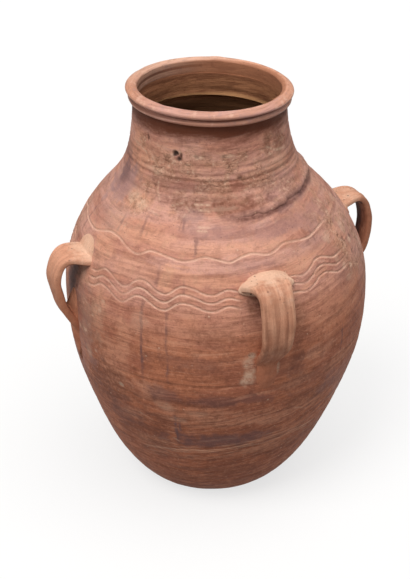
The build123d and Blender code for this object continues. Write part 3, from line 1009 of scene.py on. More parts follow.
def body_clay(colours):
    """Wheel-streaked red clay with incised waves, drips, crusts and wear, a pale slip with a
    painted sheen on the shoulder, and painted shade under the collar, along the seam strip's edge,
    in grooves, chips and gaps.
    """
    clay = Clay("wall_finish")
    rise, fall = clay.rise, clay.fall
    place, (x, y, z) = clay.place()
    lower, upper = fall(z, 190.0, 330.0), rise(z, 330.0, 500.0)
    east, south, raised = ring_places(clay, (x, y, z), lower * 14.0 + 3.0, lower * 60.0 + 16.0)
    swell = clay.noise(clay.join(x, y, z * 0.5), 160, 1.0, 0.4) - 0.5
    ring = (east, south, raised + swell * (lower * 34.0 + 20.0))
    streaks = clay.streaks(ring, 2.4, 0.11, 5.0, 0.68)
    lines = clay.streaks(ring, 5.0, 0.42, 3.0, 0.6)
    bands = clay.streaks(ring, 1.6, 0.045, 2.0, 0.5)
    strokes = clay.streaks(ring, 6.0, 0.15, 2.0, 0.55)
    clouds = clay.noise(place, 95, 3.0, 0.55)
    mottle = clay.noise(place, 17, 4.0, 0.6)
    ash = clay.noise(place, 7, 4.0, 0.65)
    fine = clay.noise(place, 5.5, 4.0, 0.65)
    grain = clay.noise(place, 1.7, 3.0, 0.6)
    coming = 0.35 + 0.9 * rise(clay.noise(clay.join(x, y, z * 2.2), 60, 2.0, 0.5), 0.4, 0.62)
    bold = 0.3 + 0.7 * lower - 0.3 * upper
    dark, grey, pale = clay.kept("stains")
    crust, warm, inside = clay.kept("weather")
    brown, recess_shade, _ = clay.kept("marks")
    outside = 1 - inside

    high_colour = clay.mix(
        rise(clouds * 0.6 + bands * 0.4, 0.42, 0.58), colours.red, colours.orange
    )
    low_colour = clay.mix(
        rise(clouds * 0.5 + streaks * 0.5, 0.42, 0.58), colours.brown, colours.russet
    )
    clay.colour = clay.mix(fall(z, 120.0, 420.0) * 0.85, high_colour, low_colour)
    clay.coat(
        # Pale slip on the shoulder, with a painted sheen
        (upper * (0.5 + 0.5 * rise(bands, 0.4, 0.6)) * 0.8, colours.pink),
        (warm, colours.apricot),
        (rise(streaks, 0.46, 0.64) * 0.72 * (0.55 + 0.45 * lower), colours.shade),
        (rise(lines, 0.5, 0.7) * (0.24 + 0.2 * lower - 0.12 * upper) * coming, colours.shade),
        (rise(strokes, 0.55, 0.64) * bold * 0.55, colours.shade),
        (fall(strokes, 0.36, 0.43) * bold * 0.4, colours.orange),
        (
            fall(streaks, 0.32, 0.46) * (0.5 + 0.08 * upper),
            clay.mix(lower * 0.7, colours.apricot, colours.orange),
        ),
        (fall(lines, 0.34, 0.46) * (0.12 + 0.26 * lower) * coming, colours.apricot),
        (rise(mottle, 0.52, 0.66) * (0.36 - 0.14 * upper), colours.shade),
        (fall(mottle, 0.34, 0.46) * 0.3, clay.mix(upper, colours.orange, colours.buff)),
        (rise(fine, 0.53, 0.66) * (0.3 - 0.16 * upper), colours.shade),
        (fall(fine, 0.34, 0.46) * 0.25, colours.apricot),
        # Brown marks, with the painted shadows and groove shade among them
        (brown * (0.55 + 0.45 * rise(fine, 0.36, 0.6)), colours.shade),
        (grey * (0.55 + 0.9 * (mottle - 0.3)), colours.haze),
    )

    shifted = clay.join(x + ash * 14.0, y + mottle * 14.0, z * 1.6 + fine * 10.0)
    flakes = clay.cells(shifted, 21, feature="DISTANCE_TO_EDGE")
    cracks = fall(flakes, 0.0, 0.12) * crust * rise(mottle, 0.44, 0.6)
    # Under the collar: a dark slip with painted shade, the collar's shadow, darkest right under it
    ridge_edge = z + (streaks - 0.5) * 22.0 + (fine - 0.5) * 6.0
    slip_and_shade_under_collar = rise(ridge_edge, 642.0, 668.0) * outside
    clay.coat(
        (crust * (0.3 + 0.7 * rise(mottle, 0.36, 0.58)) * 0.6, colours.buff),
        (crust * rise(ash, 0.5, 0.62) * 0.7, colours.ash),
        (crust * fall(ash, 0.36, 0.46) * 0.75, colours.cream),
        (crust * rise(fine, 0.56, 0.66) * 0.6, colours.shade),
        (cracks * 0.5, colours.shade),
        # Dark slip and painted shade under the collar
        (slip_and_shade_under_collar * 0.96, colours.ridge_shade),
        (dark * (0.85 + 0.5 * (0.6 + 0.8 * (mottle - 0.5))), colours.stain),
        (pale * (0.35 + 0.65 * rise(fine, 0.38, 0.54)), colours.cream),
    )

    single, comb_a, comb_b = clay.kept("waves")
    comb_c, single_strength, comb_strength = clay.kept("wave_strengths")
    single = clay.size(single)
    comb = clay.least(clay.least(clay.size(comb_a), clay.size(comb_b)), clay.size(comb_c))
    ragged = (mottle - 0.5) * 2.2 + (grain - 0.5) * 1.0
    cut = clay.most(
        fall(single + ragged, 0.9, 3.0) * single_strength,
        fall(comb + ragged, 0.8, 2.6) * comb_strength,
    )
    wide = clay.most(
        fall(single, 2.0, 4.6) * single_strength, fall(comb, 1.8, 4.2) * comb_strength
    )
    flecks = clay.specks(place, 17.0, 0.05, 0.12) * rise(mottle, 0.5, 0.6)
    flecks = flecks * (outside - slip_and_shade_under_collar)
    pits = clay.specks(clay.join(x + 31.0, y, z * 1.3), 9.0, 0.05, 0.10) * outside
    clay.coat(
        # Painted shade along the edges of the incised waves
        (wide * (1 - cut) * 0.12, colours.shade),
        (cut * (0.22 + 0.6 * rise(mottle, 0.34, 0.58)), colours.cut),
        (flecks * 0.6, colours.cream),
        (pits * 0.6, colours.pit_and_shade),
        # Painted shade in the chips and behind the left handle
        (recess_shade, colours.pit_and_shade),
        # The inside, with a painted highlight on the ledge and painted shade below it
        (inside, inside_colour(clay, colours, z, streaks, mottle)),
        ((grain - 0.5) * 0.7 + 0.05, colours.shade),
    )

    height = (
        (streaks - 0.5) * 1.1 + (lines - 0.5) * (0.7 + 0.3 * lower) * coming
        + (mottle - 0.5) * (0.4 + crust) + (ash - 0.5) * crust * 2.4
        + (fine - 0.5) * 0.5 + (grain - 0.5) * 0.25
        + flecks * 0.2 - cut * 0.2 - pits * 0.5 - cracks * 0.9 - brown * 0.3
    )
    clay.close(0.6 + 0.16 * mottle + 0.14 * crust + 0.06 * inside, height, 0.22)


def rim_clay(colours):
    """The lip and collar: finely streaked, paler and a little pink where hands rubbed it, with a
    painted sheen at the back and painted shade in the groove and under the lip.
    """
    clay = Clay("rim_finish")
    rise, fall = clay.rise, clay.fall
    place, (x, y, z) = clay.place()
    ring = east, south, _ = ring_places(clay, (x, y, z), 2.0)
    lines = clay.streaks(ring, 4.0, 0.7, 4.0, 0.6)
    bands = clay.streaks(ring, 1.4, 0.08, 2.0, 0.5)
    wide = clay.streaks(ring, 2.4, 0.11, 5.0, 0.68)
    mottle = clay.noise(place, 12, 4.0, 0.6)
    grain = clay.noise(place, 1.5, 3.0, 0.6)
    front = rise(south * -0.9 + east * -0.25, 0.1, 0.8)
    pits = clay.specks(place, 11.0, 0.05, 0.1)
    reach = clay.math("SQRT", x * x + y * y)
    clay.colour = clay.mix(
        front * (0.4 + 0.6 * rise(bands, 0.4, 0.6)), colours.rim, colours.rim_pink
    )
    clay.coat(
        # Painted sheen on the lip's top at the back
        (rise(south, 0.2, 0.9) * 0.7, colours.rim_rubs_and_sheen),
        (rise(east, 0.3, 0.9) * 0.55, colours.apricot),
        (rise(lines, 0.46, 0.66) * 0.34, colours.shade),
        (fall(mottle, 0.34, 0.46) * 0.5, colours.rim_rubs_and_sheen),
        (rise(mottle, 0.55, 0.68) * 0.35, colours.haze),
        # Painted shade in the groove between lip and collar, under the lip's overhang and at the
        # collar's foot
        (fall(clay.size(z - LIP_BOTTOM), 1.0, 3.6) * 0.8, colours.shade),
        (fall(z, LIP_BOTTOM - 4.0, LIP_BOTTOM - 1.0) * 0.16, colours.ridge_shade),
        (fall(z, NECK_TOP, NECK_TOP + 5.0) * 0.7, colours.ridge_shade),
        (
            fall(reach, MOUTH_RADIUS - 0.5, MOUTH_RADIUS + 4.0),
            inside_colour(clay, colours, z, wide, mottle),
        ),
        (pits * 0.5, colours.pit_and_shade),
    )
    height = (lines - 0.5) * 0.4 + (mottle - 0.5) * 0.35 + (grain - 0.5) * 0.12 - pits * 0.4
    clay.close(0.46 + 0.2 * mottle, height, 0.4)


def foot_clay(colours):
    """The foot: browner, scuffed at its edge, and with painted shade on its top inside the jar."""
    clay = Clay("foot_finish")
    rise, fall = clay.rise, clay.fall
    place, (x, y, z) = clay.place()
    lines = clay.streaks(ring_places(clay, (x, y, z), 3.0), 6.0, 0.5, 4.0, 0.6)
    clouds = clay.noise(place, 60, 3.0, 0.5)
    mottle = clay.noise(place, 12, 4.0, 0.6)
    grain = clay.noise(place, 1.6, 3.0, 0.6)
    clay.colour = clay.mix(rise(clouds, 0.38, 0.62), colours.brown, colours.russet)
    clay.coat(
        (rise(lines, 0.45, 0.68) * 0.4, colours.shade),
        (fall(z, 1.0, 8.0) * rise(mottle, 0.35, 0.6) * 0.6, colours.buff),
        # Painted shade on the base's top, inside the jar
        (rise(z, BASE_THICKNESS - 0.6, BASE_THICKNESS - 0.2), colours.inside_shade),
    )
    height = (lines - 0.5) * 0.5 + (mottle - 0.5) * 0.6 + (grain - 0.5) * 0.2
    clay.close(0.66 + 0.2 * mottle, height, 0.3)


def handle_clay(colours):
    """The handles: buff clay pulled lengthwise, creamy where it is pressed on, and pitted, with
    painted shade in their grooves, on faces turned to the wall and under the top roots.
    """
    clay = Clay("strap_finish")
    rise, fall = clay.rise, clay.fall
    place, (_, _, z) = clay.place()
    across, along, root = clay.kept("strap")
    dark, warm, pale = clay.kept("handle_tone_and_shade")
    joined, groove_shade, inner_and_under_shade = clay.kept("handle_join_and_shade")
    pulled = clay.noise(clay.join(across * 0.16, along * 0.012, root * 3.0), 1.0, 4.0, 0.6)
    fine = clay.noise(clay.join(across * 0.55, along * 0.03, root * 3.0), 1.0, 3.0, 0.6)
    clouds = clay.noise(place, 38, 3.0, 0.5)
    mottle = clay.noise(place, 11, 4.0, 0.6)
    grain = clay.noise(place, 1.5, 3.0, 0.6)
    pits = clay.specks(place, 9.5, 0.11, 0.2) * rise(mottle, 0.46, 0.56) * (0.2 + 0.8 * pale)
    wall = clay.mix(rise(z, 280.0, 400.0), colours.russet, colours.orange)
    wall = clay.mix(rise(mottle, 0.45, 0.62) * 0.22, wall, colours.shade)
    wall = clay.mix(0.12, wall, colours.apricot)
    paler = rise(pale + (mottle - 0.5) * 0.9 + (clouds - 0.5) * 0.5, 0.15, 0.85)
    clay.colour = clay.mix(rise(clouds, 0.36, 0.64), colours.strap, colours.strap_light)
    clay.coat(
        # Painted shade in the finger grooves
        (groove_shade * 0.45, colours.strap_shade),
        (rise(pulled, 0.46, 0.62) * 0.5, colours.strap_shade),
        (fall(pulled, 0.34, 0.48) * 0.45, colours.strap_light),
        (rise(fine, 0.5, 0.66) * 0.3, colours.strap_shade),
        (warm * 0.75, colours.apricot),
        (paler * 0.9, colours.handle_cream),
        (rise(mottle, 0.58, 0.72) * 0.18, colours.haze),
        # Dark tone, which holds the painted shade of faces turned to the wall and under the top;
        # the darkest, mostly that painted shade, goes near black
        (dark * (0.6 + 0.4 * rise(mottle, 0.35, 0.6)), colours.shade),
        (rise(dark, 0.78, 1.0) * 0.6, colours.pit_and_shade),
        (joined * (0.85 + 0.15 * rise(mottle, 0.4, 0.6)) * (1 - inner_and_under_shade), wall),
        (pits * 0.9, colours.pit_and_shade),
        ((grain - 0.5) * 0.7 + 0.05, colours.shade),
    )
    height = (
        (pulled - 0.5) * 1.3 + (fine - 0.5) * 0.6 + (mottle - 0.5) * 0.9
        + (grain - 0.5) * 0.2 - pits * 1.1
    )
    clay.close(0.6 + 0.2 * mottle, height, 0.25)


def tint(name, what, *default):
    """A colour that a user may change."""
    return bpy.props.FloatVectorProperty(
        name=name, description=what, default=default, min=0.0, max=1.0, size=3, subtype="COLOR"
    )


class JarColours(bpy.types.PropertyGroup):
    """The colours of the jar's clay."""

    red: tint("Red clay", "The jar's own red clay", 0.46, 0.165, 0.098)
    orange: tint("Orange clay", "Where the kiln left the clay more orange", 0.55, 0.205, 0.108)
    # Pale slip with a painted sheen on the shoulder
    pink: tint("Shoulder pink", "The paler slip on the shoulder", 0.72, 0.40, 0.325)
    brown: tint("Low brown", "The browner clay of the lower body", 0.29, 0.088, 0.043)
    russet: tint("Low russet", "The redder clay of the lower body", 0.40, 0.13, 0.066)
    apricot: tint("Apricot", "Warm bands where the brush was thin", 0.76, 0.375, 0.24)
    # Also the colour of the painted shade in grooves, under the seam strip and the lip, and behind
    # the handles
    shade: tint("Streak", "The dark side of the wheel's streaks", 0.17, 0.055, 0.03)
    buff: tint("Buff crust", "Weathered crust", 0.58, 0.335, 0.215)
    ash: tint("Ash", "Grey in the crust", 0.27, 0.135, 0.08)
    haze: tint("Haze", "Purple grey bloom", 0.37, 0.225, 0.22)
    stain: tint("Stain", "Dark drips and bands", 0.15, 0.075, 0.075)
    cream: tint("Cream", "Pale scrapes and lime", 0.76, 0.51, 0.37)
    cut: tint("Cut line", "The pale clay in the incised waves", 0.76, 0.47, 0.35)
    # Dark slip with painted shade, under the collar and under the lip
    ridge_shade: tint("Under the ridge", "Dark slip under the collar", 0.105, 0.024, 0.007)
    handle_cream: tint("Handle cream", "Pale clay pressed on at a root", 0.80, 0.52, 0.37)
    # Dark pits, and the painted shade in chips, behind the left handle and on the handles' inner
    # faces
    pit_and_shade: tint("Pit", "Dark pits", 0.036, 0.019, 0.014)
    inside_light: tint("Inside, light", "Golden brown inside the neck", 0.48, 0.215, 0.105)
    inside_dark: tint("Inside, dark", "Dark rings inside the neck", 0.30, 0.125, 0.06)
    inside_red: tint("Inside, red", "Redder clay just under the lip", 0.46, 0.185, 0.105)
    # A painted highlight on the edge of the ledge inside the neck
    ledge_highlight: tint("Inside, ledge", "Golden edge of the ledge inside the neck", 0.62, 0.33, 0.15)
    # Painted shade deep inside the jar, below the ledge and on the base's top
    inside_shade: tint("Inside, deep", "The dark inside below the ledge", 0.125, 0.054, 0.022)
    rim: tint("Rim", "The lip's orange clay", 0.60, 0.28, 0.175)
    rim_pink: tint("Rim pink", "The lip's pink front", 0.62, 0.335, 0.275)
    # Rubbed places on the lip, and the painted sheen at its back
    rim_rubs_and_sheen: tint("Rim light", "Rubbed places on the lip", 0.76, 0.47, 0.345)
    strap: tint("Strap", "The handles' buff clay", 0.60, 0.285, 0.175)
    strap_light: tint("Strap, light", "The handles' lighter clay", 0.72, 0.38, 0.245)
    # Streaks along the handles, and the painted shade in their grooves
    strap_shade: tint("Strap, shade", "Grooves along the handles", 0.31, 0.12, 0.065)


class JarSizes(bpy.types.PropertyGroup):
    """Sizes of the work that the scene adds to the solids."""

    voxel: bpy.props.FloatProperty(
        name="Handle grain", description="Cell size that a handle's lumps of clay are joined at",
        default=1.3 * MM, min=0.5 * MM, unit="LENGTH",
    )
    flare: bpy.props.FloatProperty(
        name="Root flare", description="How much wider a strap gets at its top root",
        default=0.5, min=0.0, max=1.0, subtype="FACTOR",
    )
    seam_step: bpy.props.FloatProperty(
        name="Seam step", description="How far the seam strip's lower edge stands proud",
        default=4.6 * MM, min=0.0, unit="LENGTH",
    )
    floor_reach: bpy.props.FloatProperty(
        name="Floor reach", description="Half the width of the floor",
        default=9.0, min=1.0, unit="LENGTH",
    )


class JAR_OT_finishes(bpy.types.Operator):
    """Make the clay finishes"""

    bl_idname = "jar.finishes"
    bl_label = "Clay finishes"

    def execute(self, context):
        for finish in (body_clay, rim_clay, foot_clay, handle_clay):
            finish(context.scene.jar_colours)
        return {"FINISHED"}


class JAR_OT_base(bpy.types.Operator):
    """Make the base slab"""

    bl_idname = "jar.base"
    bl_label = "Base"

    def execute(self, context):
        flat, rounding = FOOT_RADIUS - FOOT_ROUNDING, FOOT_ROUNDING
        corner = [
            (flat + rounding * math.cos(turn), rounding * (1 + math.sin(turn)))
            for turn in np.radians(np.linspace(-90, 0, 7))
        ]
        side = [(wall_radius(h), h) for h in np.linspace(7.5, BASE_THICKNESS, 5)]
        bottom = [(r, 0.0) for r in (0.0, 30.0, 60.0, 85.0, 100.0)]
        top = [(r, BASE_THICKNESS) for r in (100.0, 60.0, 0.0)]
        piece = spun(bottom + corner + side + top, STAGE_COLUMNS[0])
        points = read_points(piece.data)
        theta, radius, height = polar(points)
        worn = 0.5 * clay_noise(around(theta, 80, height), 18, 61)
        worn *= window(height, 0.5, 6, 12, BASE_THICKNESS)
        worked = hand_work(theta, height, wall_radius(height)) * step(height, 2.0, 12.0)
        scale = 1 + (worn + worked) * step(radius, FOOT_RADIUS - 10, FOOT_RADIUS) / FOOT_RADIUS
        points[:, :2] *= scale[:, None]
        place_points(piece.data, settle(points))
        finish_piece(piece, "base_slab", "foot_finish", ["base_disc"], "foot_clay")
        return {"FINISHED"}


class JAR_OT_walls(bpy.types.Operator):
    """Make the five stages of the wall, with the incised waves"""

    bl_idname = "jar.walls"
    bl_label = "Walls"

    def execute(self, context):
        for stage, (name, columns) in enumerate(zip(STAGE_NAMES, STAGE_COLUMNS)):
            outer_low, inner_low = joint_heights(stage)
            outer_high, inner_high = joint_heights(stage + 1)
            outer = face_run(OUTER, outer_low, outer_high, outer_spacing)
            inner = face_run(INNER, inner_low, inner_high, inner_spacing)[::-1]
            over = [outer[-1] + (inner[0] - outer[-1]) * share for share in (0.06, 0.5)]
            under = [inner[-1] + (outer[0] - inner[-1]) * share for share in (0.5, 0.94)]
            piece = spun(np.vstack((outer, over, inner, under)), columns)
            shape_wall(piece)
            finish_piece(piece, f"{name}_clay", "wall_finish", [name], "body_clay")
        return {"FINISHED"}


class JAR_OT_seam_strip(bpy.types.Operator):
    """Make the strip of clay smeared over the joint of shoulder and neck"""

    bl_idname = "jar.seam_strip"
    bl_label = "Seam strip"

    def execute(self, context):
        proud_step = context.scene.jar_sizes.seam_step / MM
        heights = BAND_LOW + np.linspace(0, 1, BAND_ROWS) * BAND_HEIGHT
        band = [(NECK_JOINT_RADIUS + 1, height) for height in heights]
        band += [(NECK_JOINT_RADIUS, height) for height in heights[::-1]]
        piece = spun(band, BAND_COLUMNS, SEAM_START, SEAM_TURN)
        points = read_points(piece.data)
        theta, radius, height = polar(points)
        share = (height - BAND_LOW) / BAND_HEIGHT
        skin = radius - NECK_JOINT_RADIUS > 0.5
        end = SEAM_START + SEAM_TURN
        ends = step(theta, SEAM_START - 0.01, SEAM_START + SEAM_TAPER)
        ends *= 1 - step(theta, end - SEAM_TAPER, end + 0.01)
        edge = seam_edge(theta) + 1.6 * round_noise(theta, 16, 63, reach=150)
        edge += 1.3 * round_noise(theta, 6, 65, reach=150)
        height = edge + share * SEAM_WIDTH * (0.75 + 0.25 * ends)
        shape = window(share, 0.0, 0.10, 0.25, 1.0)
        shape *= 0.75 + 0.35 * clay_noise(around(theta, 150, height), 19, 64)
        radius = wall_radius(height)
        out, up = wall_normal(height)
        proud = hand_work(theta, height, radius) + proud_step * shape * ends - 0.25
        proud = np.where(skin, proud, -3.0)
        worked = around(theta, radius + proud * out, height + proud * up)
        keep_marks(piece.data, theta, height, radius, 1.0, np.zeros(len(theta)), waved=0.0)
        place_points(piece.data, settle(worked))
        finish_piece(piece, "seam_strip_clay", "wall_finish", ["neck_seam_strip"], "body_clay")
        return {"FINISHED"}


def ring_outline(corners, arcs, count):
    """A closed outline of straight runs, with the runs named in arcs bulged into half rounds."""
    outline = []
    for i, (start, end) in enumerate(zip(corners, corners[1:] + corners[:1])):
        start, end = np.array(start, float), np.array(end, float)
        bulge = arcs.get(i, 0.0)
        steps = count if bulge else 4
        out = np.array((end[1] - start[1], start[0] - end[0])) / np.hypot(*(end - start))
        for share in np.arange(steps) / steps:
            raised = out * bulge * math.sin(math.pi * share) ** 0.8
            outline.append(start + (end - start) * share + raised)
    return outline


# Dents and rises of the lip: angle and height
LIP_BUMPS = ((38, 0.9), (-60, -0.6), (150, 0.8), (215, -0.7))


class JAR_OT_rim(bpy.types.Operator):
    """Make the collar ridge and the rolled lip"""

    bl_idname = "jar.rim"
    bl_label = "Rim"

    def execute(self, context):
        collar = [
            (NECK_TOP_RADIUS, NECK_TOP), (GROOVE_RADIUS, LIP_BOTTOM),
            (MOUTH_RADIUS, LIP_BOTTOM), (MOUTH_RADIUS, NECK_TOP),
        ]
        lip = [
            (GROOVE_RADIUS, LIP_BOTTOM), (GROOVE_RADIUS, JAR_HEIGHT - 1.2),
            (MOUTH_RADIUS + 4, JAR_HEIGHT - 0.8), (MOUTH_RADIUS, JAR_HEIGHT - 4),
            (MOUTH_RADIUS, LIP_BOTTOM),
        ]
        rings = (
            ("collar_clay", "collar_ridge", collar, {0: 5.2}, 66),
            ("lip_clay", "lip_roll", lip, {0: 6.0, 1: 1.3, 2: 0.6}, 67),
        )
        for name, node, corners, arcs, seed in rings:
            piece = spun(ring_outline(corners, arcs, 16), STAGE_COLUMNS[-1])
            points = read_points(piece.data)
            theta, radius, height = polar(points)
            soft = around(theta, 130, height * 3)
            wobble = 0.7 * clay_noise(soft, 90, seed) + 0.3 * clay_noise(soft, 22, seed + 10)
            wobble += hand_work(theta, np.full(len(theta), NECK_TOP), radius) * 0.4
            outward = step(radius, MOUTH_RADIUS + 2, GROOVE_RADIUS)
            points[:, :2] *= (1 + wobble * outward / radius)[:, None]
            level = 0.5 * clay_noise(around(theta, 130, theta * 0), 60, 68)
            height += level * step(height, NECK_TOP + 2, LIP_BOTTOM)
            for angle, size in LIP_BUMPS if node == "lip_roll" else ():
                bump = spot(theta, height, radius, angle, JAR_HEIGHT, 9, 16, 0.7)
                height += size * bump * step(height, LIP_BOTTOM, JAR_HEIGHT)
            place_points(piece.data, settle(points))
            finish_piece(piece, name, "rim_finish", [node], "rim_clay")
        return {"FINISHED"}


def rounded_line(corners, bends, spacing):
    """A line through corners that are rounded by arcs, as evenly spaced points."""
    corners = np.array(corners, float)
    points = [corners[0]]
    for before, corner, after, bend in zip(corners, corners[1:], corners[2:], bends):
        back, on = before - corner, after - corner
        back, on = back / np.hypot(*back), on / np.hypot(*on)
        half = math.acos(np.clip(np.dot(back, on), -1, 1)) / 2
        reach = bend / math.tan(half)
        for share in np.linspace(0, 1, 9):
            points.append(corner + back * reach * (1 - share) ** 2 + on * reach * share**2)
    points.append(corners[-1])
    points = np.array(points)
    lengths = run_lengths(points)
    marks = np.linspace(0, lengths[-1], int(lengths[-1] / spacing) + 1)
    return read_along(points, lengths, marks)


def groove_share(across):
    """How deep the finger grooves are at a share of the strap's half width."""
    waves = (0.5 + 0.5 * np.cos(across * math.pi * 3.3 + 0.6)) ** 2
    return waves * (1 - step(np.abs(across), 0.75, 1.0))


def strap_section():
    """Half sizes of the strap's section: across and outwards, with finger grooves on its face."""
    turns = np.linspace(0, 2 * math.pi, SECTION_POINTS)
    across = np.sign(np.cos(turns)) * np.abs(np.cos(turns)) ** 0.42
    out = np.sign(np.sin(turns)) * np.abs(np.sin(turns)) ** 0.55
    return across, out - step(out, 0.2, 0.9) * groove_share(across) * 0.3


def strap_mesh(line, width, thickness, wander, outward, side, base, droop):
    """Wrap a grid round the strap's line."""
    deselect()
    bpy.ops.mesh.primitive_grid_add(
        x_subdivisions=STRAP_COLUMNS, y_subdivisions=len(line) - 1, size=2
    )
    piece = bpy.context.object
    flat = read_points(piece.data) * MM
    turn, along = (flat[:, 0] + 1) / 2, (flat[:, 1] + 1) / 2
    turns = np.linspace(0, 1, SECTION_POINTS)
    across, out = (np.interp(turn, turns, half) for half in strap_section())
    heading = np.gradient(line, axis=0)
    heading /= np.linalg.norm(heading, axis=1)[:, None]
    marks = np.linspace(0, 1, len(line))
    reach, rise, face_out, face_up, width, thickness, wander = (
        np.interp(along, marks, column)
        for column in (*line.T, -heading[:, 1], heading[:, 0], width, thickness, wander)
    )
    reach = reach + face_out * out * thickness / 2
    rise = rise + face_up * out * thickness / 2
    place = np.outer(reach, outward) + np.outer(across * width / 2 + wander, side)
    place[:, 2] += rise + base - droop * across**2 * (1 - step(along, 0.04, 0.24))
    place_points(piece.data, place)
    close_up(True)
    return piece


def pressed_lump(angle, height, half_width, half_height, proud, shift):
    """A flattened lump of clay, lying on the wall at an angle and a height."""
    deselect()
    bpy.ops.mesh.primitive_uv_sphere_add(
        segments=LUMP_SEGMENTS, ring_count=LUMP_RINGS, radius=1.0
    )
    piece = bpy.context.object
    ball = read_points(piece.data) * MM
    outward, side = directions(angle)
    out, up = wall_normal(height)
    normal = outward * out + UP * up
    uphill = np.cross(normal, side)
    middle = outward * wall_radius(height) + side * shift + UP * height
    spread = np.hypot(ball[:, 0], ball[:, 1])
    dome = np.where(ball[:, 2] > 0, np.clip(1 - spread**2, 0, 1) ** 1.4, ball[:, 2])
    place = middle + np.outer(ball[:, 0] * half_width, side)
    place += np.outer(ball[:, 1] * half_height, uphill)
    if proud < THICK_LUMP:
        reach = np.hypot(place[:, 0], place[:, 1])
        place[:, :2] *= (wall_radius(place[:, 2]) / reach)[:, None]
    place += np.outer(dome * proud, normal)
    place_points(piece.data, place)
    return piece


def apply_modifier(piece, kind, **settings):
    """Add a modifier to a piece and apply it."""
    take_up(piece)
    modifier = piece.modifiers.new("work", kind)
    for name, value in settings.items():
        setattr(modifier, name, value)
    bpy.ops.object.modifier_apply(modifier=modifier.name)


def cut_copy(piece, cuts):
    """A copy of a piece, cut by planes and closed: each cut has a point, a normal and a side."""
    copy = piece.copy()
    copy.data = piece.data.copy()
    bpy.context.scene.collection.objects.link(copy)
    take_up(copy)
    bpy.ops.object.mode_set(mode="EDIT")
    for point, normal, keep_outer in cuts:
        bpy.ops.mesh.select_all(action="SELECT")
        bpy.ops.mesh.bisect(
            plane_co=point * MM, plane_no=normal, use_fill=True,
            clear_inner=keep_outer, clear_outer=not keep_outer,
        )
    face_outwards()
    return copy


def shape_handle(piece, name, line, outward, side, base, seed):
    """Keep a handle out of the wall's inside, work it over and give it its tones, with painted
    shade in its grooves, on faces turned to the wall and under its top root.
    """
    points = read_points(piece.data)
    _, radius, height = polar(points)
    deepest = wall_radius(height) - HANDLE_SINK / np.maximum(wall_normal(height)[0], 0.5)
    points[:, :2] *= (np.maximum(radius, deepest) / np.maximum(radius, 1e-6))[:, None]
    reach, across, rise = points @ outward, points @ side, height - base
    gap = (reach[:, None] - line[None, ::3, 0]) ** 2 + (rise[:, None] - line[None, ::3, 1]) ** 2
    along = gap.argmin(axis=1) * 3.0 * np.hypot(*(line[1] - line[0]))
    free = polar(points)[1] - wall_radius(height)
    uneven = 0.7 * clay_noise(points, 24, seed) + 0.35 * clay_noise(points, 9, seed + 10)
    points += outward * (uneven * step(free, -2, 6))[:, None] * 0.8
    joined = 1 - step(free + 1.5 * clay_noise(points, 7, seed + 20), 0.5, 5.0)
    joined = np.maximum(joined * (1 - 0.8 * step(rise, 20, 60)), 1 - step(rise, -12, 16))
    # Painted shade in the finger grooves
    groove_shade = groove_share(across / (STRAP_WIDTH / 2)) * step(free, 8, 16)
    smeared = along + 11 * clay_noise(points, 17, seed + 30) + 5 * clay_noise(points, 6, seed + 40)
    places, *tones = np.array(HANDLE_TONES[name]).T
    dark, warm, pale, walled = (np.interp(smeared, places, tone) for tone in tones)
    normals = np.zeros(len(points) * 3)
    piece.data.vertex_normals.foreach_get("vector", normals)
    normals = normals.reshape(-1, 3)
    # Painted shade on the faces turned to the wall and under the top root
    inner_and_under_shade = step(-(normals @ outward), 0.55, 0.97) * step(free, 1, 6) * step(rise, 0, 20)
    inner_and_under_shade *= 0.6 + 0.4 * step(across, -12, 6)
    inner_and_under_shade = np.maximum(inner_and_under_shade, step(-normals[:, 2], 0.25, 0.7) * step(rise, 60, 90))
    add_values(piece.data, "handle_join_and_shade", np.maximum(joined, walled), groove_shade, inner_and_under_shade)
    add_values(piece.data, "strap", across, along, 1 - step(free, 10, 40))
    add_values(piece.data, "handle_tone_and_shade", np.maximum(dark, inner_and_under_shade), warm, pale * (1 - inner_and_under_shade))
    place_points(piece.data, settle(points))


